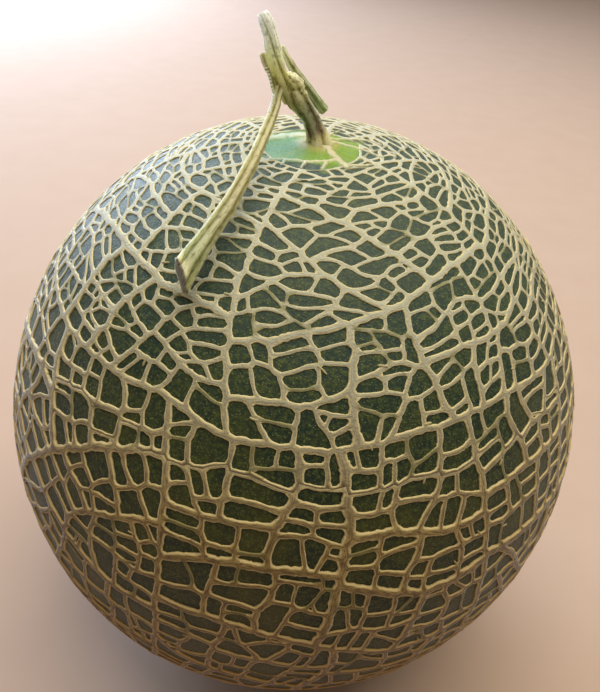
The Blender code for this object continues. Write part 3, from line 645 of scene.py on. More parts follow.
def find_cut(flat, start, across):
    """Where a straight line crosses a flat outline, ahead of and behind a point inside it.

    Each end is given as the outline point before it, the share of the way to
    the next one, and the place.
    """
    beside = (flat - start) @ np.array([-across[1], across[0]])
    ahead = (flat - start) @ across
    hits = {}
    for i in range(len(flat)):
        j = (i + 1) % len(flat)
        if beside[i] * beside[j] < 0.0:
            share = beside[i] / (beside[i] - beside[j])
            reach = ahead[i] + share * (ahead[j] - ahead[i])
            hit = (abs(reach), i, share)
            hits[reach > 0.0] = min(hits.get(reach > 0.0, hit), hit)
    if len(hits) < 2:
        return None
    following = np.roll(flat, -1, axis=0)
    return [(i, share, flat[i] + share * (following[i] - flat[i]))
            for _, i, share in (hits[False], hits[True])]


def part_roundness(flat, cut):
    """How round the narrower of the two parts of a cut outline is: 1 for a circle."""
    (i, share_i, _), (j, share_j, _) = cut
    following = np.roll(flat, -1, axis=0)
    p = flat[i] + share_i * (following[i] - flat[i])
    q = flat[j] + share_j * (following[j] - flat[j])
    worst = 1.0
    for a, b, start, end in ((i, j, p, q), (j, i, q, p)):
        count = (b - a) % len(flat)
        inner = flat[[(a + 1 + k) % len(flat) for k in range(count)]]
        part = np.vstack([start, inner, end])
        after = np.roll(part, -1, axis=0)
        area = abs((part[:, 0] * after[:, 1] - part[:, 1] * after[:, 0]).sum()) / 2.0
        around = np.hypot(*(after - part).T).sum()
        worst = min(worst, 4.0 * math.pi * area / around ** 2)
    return worst


def cut_leans(flat, cut):
    """How far a cut leans, at its start and its end, from meeting the outline squarely."""
    (i, _, p), (j, _, q) = cut
    heading = math.atan2(*(q - p)[::-1])
    leans = []
    for k, turn in ((i, 0.5 * math.pi), (j, -0.5 * math.pi)):
        side = flat[(k + 1) % len(flat)] - flat[k]
        squarely = math.atan2(side[1], side[0]) + turn
        leans.append((squarely - heading + math.pi) % (2 * math.pi) - math.pi)
    return leans


def outline_moments(flat):
    """Area, centre and second moments about it of a flat outline."""
    x, y = flat[:, 0], flat[:, 1]
    u, v = np.roll(x, -1), np.roll(y, -1)
    cross = x * v - u * y
    area = cross.sum() / 2.0
    centre = np.array([((x + u) * cross).sum(), ((y + v) * cross).sum()]) / (6.0 * area)
    xx = ((x * x + x * u + u * u) * cross).sum() / 12.0 / area - centre[0] ** 2
    yy = ((y * y + y * v + v * v) * cross).sum() / 12.0 / area - centre[1] ** 2
    xy = ((x * v + 2 * x * y + 2 * u * v + u * y) * cross).sum() / 24.0 / area
    xy -= centre[0] * centre[1]
    return area, centre, np.array([[xx, xy], [xy, yy]])


def smooth(t):
    """The same as soft_step from 0 to 1, for one number."""
    t = min(max(t, 0.0), 1.0)
    return t * t * (3.0 - 2.0 * t)


def cord_half_width(cell_area):
    """Half the width of a cord that splits a cell: older cords are broader."""
    return min(LEAST_HALF_WIDTH + WIDTH_GAIN * math.sqrt(cell_area), MOST_HALF_WIDTH)


def first_cells(net):
    """The net's first cells: three staggered bands between the disc and the flat spot."""
    starts = [net.draw.uniform(0.0, 2.0 * math.pi) for _ in FIRST_BANDS]
    joints = [[(starts[k] + 2 * math.pi * j / n + net.draw.uniform(-JOINT_SPREAD, JOINT_SPREAD))
               % (2 * math.pi) for j in range(n)] for k, n in enumerate(FIRST_BANDS)]
    ring_points = []
    for k, polar in enumerate(BAND_EDGES):
        wanted = sorted((joints[k - 1] if k else []) + (joints[k] if k < len(joints) else []))
        azimuths = spread_out(wanted, 2 * math.pi / FEWEST_ON_EDGE[k])
        points = []
        for azimuth in azimuths:
            angle = disc_edge(azimuth) if polar is None else polar
            if 0 < k < len(BAND_EDGES) - 1:
                angle += net.draw.uniform(-EDGE_SPREAD, EDGE_SPREAD)
            points.append((azimuth, net.add_point(towards(angle, azimuth))))
        ring_points.append(points)
        for (_, a), (_, b) in zip(points, points[1:] + points[:1]):
            bow = parallel_bow(net.points[a], net.points[b])
            net.add_cord(a, b, bow, 0.0, RING_HALF_WIDTH if k else DISC_RING_HALF_WIDTH)
    for k, azimuths in enumerate(joints):
        for azimuth in azimuths:
            upper, lower = (nearest(ring_points[r], azimuth) for r in (k, k + 1))
            bow = net.draw.uniform(-FIRST_BOW, FIRST_BOW)
            net.add_cord(upper, lower, bow, 0.0, DOWNWARD_HALF_WIDTH)
    for k, azimuths in enumerate(joints):
        marks = sorted(azimuths)
        for left, right in zip(marks, marks[1:] + marks[:1]):
            upper = between(ring_points[k], left, right)
            lower = between(ring_points[k + 1], left, right)
            net.add_cell(lower + upper[::-1])
    disc = net.add_cell([p for _, p in ring_points[0]])
    foot = net.add_cell([p for _, p in ring_points[-1]][::-1])
    for cell in range(sum(FIRST_BANDS)):
        net.line_up(cell)
    return disc, foot


def spread_out(azimuths, widest):
    """The azimuths, with more put between them where they are too far apart."""
    result = []
    for a, b in zip(azimuths, azimuths[1:] + [azimuths[0] + 2 * math.pi]):
        parts = max(1, math.ceil((b - a) / widest))
        result += [a + (b - a) * j / parts for j in range(parts)]
    return result


def parallel_bow(a, b):
    """How far the parallel through two directions stands off the straight arc between them."""
    angle = math.acos(min(1.0, float(a @ b)))
    return -angle / 8.0 * a[2] / max(1e-6, math.hypot(a[0], a[1]))


def nearest(points, azimuth):
    """The point of a ring that is nearest to an azimuth."""
    def apart(item):
        return abs((item[0] - azimuth + math.pi) % (2 * math.pi) - math.pi)
    return min(points, key=apart)[1]


def between(points, left, right):
    """A ring's points from one azimuth round to another."""
    width = (right - left) % (2 * math.pi)
    run = sorted(((azimuth - left + 1e-6) % (2 * math.pi), p) for azimuth, p in points)
    return [p for offset, p in run if offset <= width + 2e-6]


def grow_net(seed, main_count, count):
    """The net, split until it has this many cells; with the disc's and the foot's cells.

    The first cells, up to the main count, are those of the solid fruit.
    """
    net = Net(seed)
    disc, foot = first_cells(net)
    while len(net.cells) < main_count and net.queue:
        net.split_next()
    net.late = True
    net.queue = []
    for cell in sorted(set(net.cells) - {disc, foot}):
        net.line_up(cell)
    while len(net.cells) < count and net.queue:
        net.split_next()
    return net, disc, foot


def cut_corners(net, kept):
    """Lay short cords across corners of some cells, and close beside some of their cords.

    They leave the small triangles and slits that are seen where cracks met.
    """
    net.narrowest = NARROWEST_GAP
    for cell in range(len(net.cells)):
        junctions = net.cells[cell]
        size = len(junctions)
        corner = net.draw.randrange(size)
        chance, reach = net.draw.random(), net.draw.uniform(*CUT_REACH)
        if cell in kept or chance > CORNER_SHARE + SLIT_SHARE or size < 4:
            continue
        legs = ((corner - 1) % size, corner if chance < CORNER_SHARE else (corner + 1) % size)
        reach *= 1.0 if chance < CORNER_SHARE else SLIT_REACH
        ends = []
        for edge, from_end in zip(legs, (True, False)):
            length = net.edge_length(junctions[edge], junctions[(edge + 1) % size])
            if length < reach + SHORTEST_EDGE:
                break
            share = reach * net.draw.uniform(*CUT_REACH_SPREAD) / length
            ends.append((edge, 1.0 - share if from_end else share))
        if len(ends) == 2:
            bend = [net.draw.gauss(0.0, CUT_BEND), net.draw.gauss(0.0, CUT_BEND)]
            net.lay_cord(cell, ends, bend, net.draw.uniform(*CUT_HALF_WIDTH))


def cord_lines(net):
    """Points along every cord, shared by the cells on both sides, and where they lie on it."""
    directions = list(net.points)
    widths = [0.0] * len(directions)
    runs = {}
    for (a, b), (cord, share_a, share_b) in net.edges.items():
        start, end, _, _, half_width = net.cords[cord]
        widths[a] = max(widths[a], half_width)
        if (b, a) in runs:
            inner, places = runs[b, a]
            runs[a, b] = inner[::-1], places[::-1]
            continue
        new = net.edge_points(a, b, CORD_SPACING)[1:]
        inner = list(range(len(directions), len(directions) + len(new)))
        length = math.dist(start, end) * EQUATOR_RADIUS
        places = np.linspace(share_a, share_b, len(new) + 2) * length + GRAIN_SHIFT * cord
        runs[a, b] = inner, list(places)
        directions += new
        widths += [half_width] * len(new)
    return drift(np.array(directions)), np.array(widths), runs


def drift(directions):
    """The directions, moved a little sideways as the skin grew, so no cord runs straight."""
    polar = np.arccos(np.clip(directions[:, 2], -1.0, 1.0))
    free = np.clip((polar - DISC_RADIUS / POLE_RADIUS * 1.5) / 0.35, 0.0, 1.0)
    free = free * np.clip((FOOT_ANGLE - polar) / 0.35, 0.0, 1.0)
    move = np.zeros_like(directions)
    draw = random.Random(NET_SEED)
    for waves, size in DRIFT_WAVES:
        way, push = (np.array([draw.gauss(0.0, 1.0) for _ in range(3)]) for _ in range(2))
        phase = draw.uniform(0.0, 2.0 * math.pi)
        move += size * np.sin(directions @ unit(way) * waves + phase)[:, None] * unit(push)
    moved = directions + move * free[:, None]
    return moved / np.linalg.norm(moved, axis=1, keepdims=True)


def settle(directions, runs):
    """The cords, crooked at a small scale and drawn a little towards each other where they meet.

    The skin pulls evenly while it heals, which turns square T joints into softer ones.
    """
    polar = np.arccos(np.clip(directions[:, 2], -1.0, 1.0))
    free = np.clip((polar - DISC_RADIUS / POLE_RADIUS * 1.4) / 0.12, 0.0, 1.0)[:, None]
    for length, size, number in CROOKS:
        push = np.stack([ripple(directions, length / EQUATOR_RADIUS, number + k) for k in range(3)],
                        axis=1)
        directions = directions + CROOK_PART * size / EQUATOR_RADIUS * push * free
    pairs = set()
    for (a, b), (inner, _) in runs.items():
        line = [a] + inner + [b]
        pairs.update((min(p, q), max(p, q)) for p, q in zip(line, line[1:]))
    one, other = np.array(sorted(pairs)).T
    count = np.bincount(one, minlength=len(directions)) + np.bincount(other, minlength=len(directions))
    for _ in range(SETTLE_ROUNDS):
        total = np.zeros_like(directions)
        np.add.at(total, one, directions[other])
        np.add.at(total, other, directions[one])
        pull = total / count[:, None] - directions
        directions = directions + SETTLE_PULL * free * pull
    return directions / np.linalg.norm(directions, axis=1, keepdims=True)


def cell_rings(flat, cords, widths, levels):
    """Lines round a cell at levels of the distance from its cords, in half widths.

    Each point is found on the way from an outline point to the cell's middle. The
    distances from the cell's cords are blended, so that its corners are round.
    """
    shares = np.linspace(0.0, RING_REACH, RING_TESTS)
    tests = flat[:, None, :] * (1.0 - shares)[None, :, None]
    along = np.roll(flat, -1, axis=0) - flat
    length = np.maximum((along ** 2).sum(axis=1), 1e-18)
    offset = tests[:, :, None, :] - flat[None, None]
    part = np.clip((offset * along).sum(axis=-1) / length, 0.0, 1.0)
    distance = np.linalg.norm(offset - part[..., None] * along, axis=-1) / widths
    total = 0.0
    for cord in sorted(set(cords)):
        mine = np.array([c == cord for c in cords])
        total = total + np.exp(-distance[..., mine].min(axis=-1) / CORNER_ROUNDNESS)
    value = -CORNER_ROUNDNESS * np.log(total)
    rows = np.arange(len(flat))
    rings = []
    for level in levels:
        wanted = level if np.ndim(level) else np.full(len(flat), level)
        inside = value >= wanted[:, None]
        first = np.where(inside.any(axis=1), inside.argmax(axis=1), len(shares) - 1)
        first = np.maximum(first, 1)
        before, after = value[rows, first - 1], value[rows, first]
        part = np.clip((wanted - before) / np.maximum(after - before, 1e-9), 0.0, 1.0)
        share = shares[first - 1] + part * (shares[first] - shares[first - 1])
        rings.append(flat * (1.0 - share)[:, None])
    return rings


net, disc_cell, foot_cell = grow_net(NET_SEED, MAIN_CELLS, NET_CELLS)
cut_corners(net, (disc_cell, foot_cell))
directions, widths, runs = cord_lines(net)
directions = settle(directions, runs)
fineness = 1.0 - THIN_AT_TOP * soft_step(*THIN_BETWEEN, directions[:, 2])
raised = CORD_TALLNESS * widths * fineness
raised = raised * (1.0 + UNEVEN_HEIGHT * ripple(directions, 0.05, 3))
root = skin(directions, np.full(len(directions), -ROOT_DEPTH))
edge_noise = 0.7 * ripple(directions, 0.04, 5) + 0.5 * ripple(directions, 0.02, 7)

# The thin cords that healed last are greener, lower and narrower
draw = random.Random(YOUNG_SEED)
young_cords = {k for k, cord in enumerate(net.cords)
               if cord[4] < YOUNG_WIDTH and draw.random() < YOUNG_SHARE}
young_here = np.zeros(len(directions))
for (a, b), (inner, _) in runs.items():
    if net.edges[a, b][0] in young_cords:
        young_here[inner] = 1.0
fineness *= 1.0 - YOUNG_LOSS * young_here
raised *= 1.0 - YOUNG_LOSS * young_here
crest = skin(directions, raised * CREST)

# The steps round each cell, and which piece of the net it belongs to, from the top down
outlines = {}
for cell, junctions in net.cells.items():
    steps = []
    for a, b in zip(junctions, junctions[1:] + junctions[:1]):
        inner, places = runs[a, b]
        line = [a] + inner + [b]
        cord = net.edges[a, b][0]
        steps += [(line[k], line[k + 1], cord, places[k], places[k + 1])
                  for k in range(len(line) - 1)]
    outlines[cell] = steps
heights = {cell: float(np.mean([directions[s[0]][2] for s in steps]))
           for cell, steps in outlines.items()}
downwards = sorted(outlines, key=lambda cell: -heights[cell])
sizes = np.cumsum([len(outlines[cell]) for cell in downwards])
piece_of = {cell: int(min(2, 3 * (size - 1) // sizes[-1])) for cell, size in zip(downwards, sizes)}
piece_at = {(step[0], step[1]): piece_of[cell] for cell, steps in outlines.items() for step in steps}

# Cork that grew over healed cracks: dry, dull and tan, with a pale rim along both sides of a cord
# and fine dark splits along its middle. Its blotches are 6 mm across. Its grain runs along the
# cord, 2 mm long and a third of a millimetre across. The cork is greyer high up, partly its own
# tone and partly a painted cool reflection of the light; low down it is painted darker and warmer,
# as painted shade and warm light from below.
cork, tree, shader = new_material("dry_corky_net", Roughness=0.72, IOR=1.42,
                                  Sheen_Weight=0.32, Sheen_Roughness=0.4,
                                  Sheen_Tint=BLOOM_TINT)
place = add(tree, "ShaderNodeTexCoord").outputs["Object"]
grain_map = add(tree, "ShaderNodeUVMap", uv_map="grain")
rim_level = add(tree, "ShaderNodeAttribute", attribute_name="rim").outputs["Fac"]
blotches = add(tree, "ShaderNodeTexNoise", {"Vector": place, "Scale": 1.0 / (6.0 * MM), "Detail": 4.0})
blotch = add(tree, "ShaderNodeMapRange", {"Value": blotches.outputs[0], "From Min": 0.36,
                                          "From Max": 0.66})
body = add(tree, "ShaderNodeMix", {0: blotch.outputs[0], 6: colour("#94834C"), 7: colour("#B3A166")},
           data_type="RGBA")
side = add(tree, "ShaderNodeSeparateXYZ", {0: place})
# Greyer and bluer high up: partly the cork's own tone, partly a painted cool reflection of the light.
tone_and_painted_reflection_high = add(tree, "ShaderNodeMapRange", {"Value": side.outputs["Z"], "From Min": 0.105,
                                           "From Max": 0.142, "To Max": 0.85})
stretched = add(tree, "ShaderNodeMapping", {"Vector": grain_map.outputs[0],
                                            "Scale": (4.5, 30.0, 1.0)})
grain = add(tree, "ShaderNodeTexNoise", {"Vector": stretched.outputs[0], "Scale": 1.0, "Detail": 3.0,
                                         "Roughness": 0.6})
crevice = add(tree, "ShaderNodeMapRange", {"Value": grain.outputs[0], "From Min": 0.57,
                                           "From Max": 0.42, "To Max": 0.9})
inner = add(tree, "ShaderNodeMapRange", {"Value": rim_level, "From Min": 0.68, "From Max": 0.40})
cracked = add(tree, "ShaderNodeMath", {0: crevice.outputs[0], 1: inner.outputs[0]},
              operation="MULTIPLY")
middle_line = add(tree, "ShaderNodeMapRange", {"Value": rim_level, "From Min": 0.26,
                                               "From Max": 0.06, "To Max": 0.8})
broken = add(tree, "ShaderNodeMapRange", {"Value": grain.outputs[0], "From Min": 0.60,
                                          "From Max": 0.44})
split = add(tree, "ShaderNodeMath", {0: middle_line.outputs[0], 1: broken.outputs[0]},
            operation="MULTIPLY")
dark_lines = add(tree, "ShaderNodeMath", {0: cracked.outputs[0], 1: split.outputs[0]},
                 operation="MAXIMUM")
rim_up = add(tree, "ShaderNodeMapRange", {"Value": rim_level, "From Min": 0.50, "From Max": 0.76})
rim_down = add(tree, "ShaderNodeMapRange", {"Value": rim_level, "From Min": 1.0, "From Max": 0.93})
rimmed = add(tree, "ShaderNodeMath", {0: rim_up.outputs[0], 1: rim_down.outputs[0]},
             operation="MULTIPLY")
rim_mix = add(tree, "ShaderNodeMath", {0: rimmed.outputs[0], 1: 0.88}, operation="MULTIPLY")
youth = add(tree, "ShaderNodeAttribute", attribute_name="young").outputs["Fac"]
youth_mix = add(tree, "ShaderNodeMath", {0: youth, 1: 0.65}, operation="MULTIPLY")
# Painted shade: darker and warmer towards the bottom, standing in for shade and warm light from below.
painted_shade_low = add(tree, "ShaderNodeMapRange", {"Value": side.outputs["Z"], "From Min": 0.128,
                                            "From Max": 0.03})
cork_tone = body
for amount, code, blend in ((dark_lines, "#665130", "MIX"), (tone_and_painted_reflection_high, "#BDC1AE", "MIX"),
                            (rim_mix, "#D9CC9A", "MIX"), (youth_mix, "#6E6F3A", "MIX"),
                            (painted_shade_low, "#CE9F56", "MULTIPLY")):
    cork_tone = add(tree, "ShaderNodeMix", {0: amount.outputs[0], 6: cork_tone.outputs[2],
                                            7: colour(code)}, data_type="RGBA", blend_type=blend)
tree.links.new(cork_tone.outputs[2], shader.inputs["Base Color"])
fine = add(tree, "ShaderNodeTexNoise", {"Vector": place, "Scale": 1.0 / (0.45 * MM), "Detail": 3.0})
height = add(tree, "ShaderNodeMath", {0: grain.outputs[0], 1: fine.outputs[0]}, operation="ADD")
bump = add(tree, "ShaderNodeBump", {"Height": height.outputs[0], "Strength": 0.8,
                                    "Distance": 0.20 * MM})
tree.links.new(bump.outputs[0], shader.inputs["Normal"])

# Each cell's half of the cords round it: from their crest over rim and shoulder down to the rind,
# and closed below. Cells share the crests, so the halves meet in one solid piece.
for number, name in enumerate(NET_PIECES):
    vertices, faces, grain_places, rim, young = [], [], [], [], []
    tops, bottoms = {}, {}
    for cell in downwards:
        if piece_of[cell] != number:
            continue
        steps = outlines[cell]
        outline = directions[[step[0] for step in steps]]
        middle = unit(outline.mean(axis=0))
        east = unit(np.cross([0.0, 0.0, 1.0], middle))
        north = np.cross(middle, east)
        flat = np.stack([outline @ east, outline @ north], axis=1) / (outline @ middle)[:, None]
        _, centre, _ = outline_moments(flat)
        half_widths = np.array([net.cords[step[2]][4] * fineness[step[0]] for step in steps])
        wobble = 1.0 + EDGE_WOBBLE * edge_noise[[step[0] for step in steps]]
        rings = cell_rings(flat - centre, [step[2] for step in steps],
                           half_widths / EQUATOR_RADIUS,
                           [level * wobble for level, _ in PROFILE] + [wobble])
        tall = raised[[step[0] for step in steps]]
        for step in steps:
            if step[0] not in tops:
                tops[step[0]], bottoms[step[0]] = len(vertices), len(vertices) + 1
                vertices += [crest[step[0]], root[step[0]]]
                rim += [0.0, 1.0]
                young += [young_here[step[0]]] * 2
        ids = [[tops[step[0]] for step in steps]]
        heights_here = [tall * share for _, share in PROFILE] + [np.full(len(steps), -FOOT_DEPTH)]
        for ring, high, level in zip(rings, heights_here, [p[0] for p in PROFILE] + [1.0]):
            around = ring + centre
            outward = middle + around[:, :1] * east + around[:, 1:] * north
            outward /= np.linalg.norm(outward, axis=1, keepdims=True)
            ids.append(list(range(len(vertices), len(vertices) + len(steps))))
            vertices += list(skin(outward, high))
            rim += [level] * len(steps)
            young += [1.0 if step[2] in young_cords else 0.0 for step in steps]
        ids.append([bottoms[step[0]] for step in steps])
        levels = [0.0] + [p[0] for p in PROFILE] + [1.0, 1.0]
        for i, (_, _, cord, from_place, to_place) in enumerate(steps):
            j = (i + 1) % len(steps)
            side = half_widths[i] * (1.0 if to_place > from_place else -1.0)
            for strip in range(len(ids) - 1):
                near, far = levels[strip] * side, levels[strip + 1] * side
                faces.append((ids[strip][i], ids[strip][j], ids[strip + 1][j], ids[strip + 1][i]))
                grain_places += [(from_place, near), (to_place, near), (to_place, far),
                                 (from_place, far)]
            a, b = steps[i][:2]
            if piece_at.get((b, a)) != number:
                faces.append((tops[b], tops[a], bottoms[a], bottoms[b]))
                grain_places += [(to_place, 0.0), (from_place, 0.0), (from_place, 0.0), (to_place, 0.0)]
    net_piece = new_piece(name, [tuple(v) for v in vertices], faces, cork)
    grain_layer = net_piece.data.uv_layers.new(name="grain")
    grain_layer.data.foreach_set("uv", (np.array(grain_places, np.float32) * GRAIN_SCALE).ravel())
    set_attribute(net_piece, "rim", rim)
    set_attribute(net_piece, "young", young)
    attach(net_piece, "root")
    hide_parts("fruit")


# Unfinished cracks
# Some cracks stopped inside a cell. They healed as low corky spurs that stand on a cord at one
# end and run out to nothing at the other.

SPUR_SHARE = 0.03              # of the cells that are large enough
SPUR_CELL = 15.0 * MM ** 2
SPUR_POINTS = 10               # along each
SPUR_LOWEST = 6.0 * MM         # none stands lower than this
SPUR_SINK = 0.15               # of its radius, below the skin
SPUR_SEED = 7
SPUR_SIDES = 10                # round each
SPUR_FLATNESS = 0.55           # height as a share of width
SPUR_LENGTH = (0.32, 0.65)     # as a share of the way to the cell's middle
SPUR_RADIUS = (0.34 * MM, 0.46 * MM)
SPUR_YOUTH = 0.6               # as green as this, next to the youngest cords


def make_plain(piece):
    """Turn what a piece's modifiers make into its own plain mesh, and remove them."""
    grown = piece.evaluated_get(bpy.context.evaluated_depsgraph_get())
    piece.data = bpy.data.meshes.new_from_object(grown)
    piece.modifiers.clear()
    piece.data.shade_smooth()


draw = random.Random(SPUR_SEED)
spur_points, spur_edges, spur_radii = [], [], []
for cell in downwards:
    if cell in (disc_cell, foot_cell):
        continue
    _, _, area, _, middle = net.flatten(net.cells[cell], OUTLINE_STEP)
    if area * EQUATOR_RADIUS ** 2 < SPUR_CELL or draw.random() > SPUR_SHARE:
        continue
    steps = outlines[cell]
    start = directions[draw.choice(steps)[0]]
    middle = unit(directions[[step[0] for step in steps]].mean(axis=0))
    if skin(start[None])[0][2] < SPUR_LOWEST:
        continue
    reach = middle - start
    aside = np.cross(middle, unit(reach)) * math.sqrt(reach @ reach)
    lean, bend, length = draw.gauss(0.0, 0.25), draw.gauss(0.0, 0.22), draw.uniform(*SPUR_LENGTH)
    thick = draw.uniform(*SPUR_RADIUS)
    first = len(spur_points)
    for share in np.linspace(0.0, 1.0, SPUR_POINTS):
        along = share * length
        direction = unit(start + reach * along + aside * (lean * along + bend * along ** 2))
        radius = thick * math.sqrt(1.25 - share ** 6) * draw.uniform(0.92, 1.08)
        spur_points.append(tuple(skin(direction[None], np.array([-SPUR_SINK * radius]))[0]))
        spur_radii.append(radius)
    spur_edges += [(k, k + 1) for k in range(first, len(spur_points) - 1)]

# Tubes along the paths, flattened against the rind, with their sides marked as pale rims
tree = bpy.data.node_groups.new("spurs_on_paths", "GeometryNodeTree")
tree.interface.new_socket("Geometry", in_out="INPUT", socket_type="NodeSocketGeometry")
tree.interface.new_socket("Geometry", in_out="OUTPUT", socket_type="NodeSocketGeometry")
flatness = tree.interface.new_socket("Flatness", in_out="INPUT", socket_type="NodeSocketFloat")
finish = tree.interface.new_socket("Finish", in_out="INPUT", socket_type="NodeSocketMaterial")
entry = add(tree, "NodeGroupInput")
thickness = add(tree, "GeometryNodeInputNamedAttribute", {"Name": "thickness"}, data_type="FLOAT")
here = add(tree, "GeometryNodeInputPosition")
from_middle = add(tree, "ShaderNodeVectorMath", {0: here.outputs[0], 1: (0.0, 0.0, MIDDLE)},
                  operation="SUBTRACT")
outward = add(tree, "ShaderNodeVectorMath", {0: from_middle.outputs[0]}, operation="NORMALIZE")
paths = add(tree, "GeometryNodeMeshToCurve", {"Mesh": entry.outputs["Geometry"]})
sized = add(tree, "GeometryNodeSetCurveRadius", {"Curve": paths.outputs[0],
                                                 "Radius": thickness.outputs["Attribute"]})
upright = add(tree, "GeometryNodeSetCurveNormal", {"Curve": sized.outputs[0],
                                                   "Normal": outward.outputs[0]}, mode="FREE")
ring = add(tree, "GeometryNodeCurvePrimitiveCircle", {"Resolution": SPUR_SIDES, "Radius": 1.0})
around = add(tree, "GeometryNodeInputPosition")
parts = add(tree, "ShaderNodeSeparateXYZ", {0: around.outputs[0]})
sideways = add(tree, "ShaderNodeMath", {0: parts.outputs["X"]}, operation="ABSOLUTE")
marked = add(tree, "GeometryNodeStoreNamedAttribute",
             {"Geometry": ring.outputs[0], "Name": "rim", "Value": sideways.outputs[0]},
             data_type="FLOAT", domain="POINT")
squeeze = add(tree, "ShaderNodeCombineXYZ", {"X": 1.0, "Y": entry.outputs["Flatness"], "Z": 1.0})
profile = add(tree, "GeometryNodeTransform", {"Geometry": marked.outputs[0],
                                              "Scale": squeeze.outputs[0]})
tubes = add(tree, "GeometryNodeCurveToMesh", {"Curve": upright.outputs[0],
                                              "Profile Curve": profile.outputs[0],
                                              "Fill Caps": True})
if "Scale" in tubes.inputs:
    tree.links.new(thickness.outputs["Attribute"], tubes.inputs["Scale"])
real = add(tree, "GeometryNodeRealizeInstances", {"Geometry": tubes.outputs[0]})
painted = add(tree, "GeometryNodeSetMaterial", {"Geometry": real.outputs[0],
                                                "Material": entry.outputs["Finish"]})
add(tree, "NodeGroupOutput", {"Geometry": painted.outputs[0]})

mesh = bpy.data.meshes.new("spur_paths")
mesh.from_pydata(spur_points, spur_edges, [])
spurs = bpy.data.objects.new("net_spurs", mesh)
bpy.context.scene.collection.objects.link(spurs)
set_attribute(spurs, "thickness", spur_radii)
set_attribute(spurs, "young", [SPUR_YOUTH] * len(spur_points))
grow = spurs.modifiers.new("grow", "NODES")
grow.node_group = tree
grow[flatness.identifier] = SPUR_FLATNESS
grow[finish.identifier] = cork
make_plain(spurs)
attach(spurs, "root")
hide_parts("fruit")

# The stem
# The vine's stalk, cut and dried: fibrous, five-ribbed, pale along its ribs and olive between
# them. It grew out of the disc and forks at a knot, and each of its arms was cut.

STALK_END = TOP / MM           # the height where the stalk stands on the fruit, in mm
KNOT = np.array([-7.4, -4.2, STALK_END + 12.3])         # where it forks, in mm
FACING = np.array([0.31, 0.95, 0.10])    # a limb's angles count from square to this way
RIBS = 5
RIB_DEPTH = 0.16               # as a share of a limb's radius
FINE_RIBS, FINE_DEPTH = 23.0, 0.022     # many low ones between the five
SLOW_UNEVENNESS, QUICK_UNEVENNESS = 0.05, 0.03      # of the radius along a limb
BLEND_PACE, BLEND_START = 6.0, 0.8      # how the limbs' colours run into each other, in radii
FIBRES_APART, FIBRE_STRETCH = 9.0, 0.16 # of the fibres' map: between limbs, and along them
STEM_STEP = 0.35               # between rings of a limb, in mm
STEM_AROUND = 48
STEM_VOXEL = 0.17 * MM         # of the mesh that joins the limbs
PALE_ARM_WEAR = 0.4            # how much its ribs fade towards its tip
CUT_FACE = 0.7                 # inside this share of a radius, a cut end shows no ribs
CUT_REACH_MM = 6.0             # the cut's colours reach this far from its middle

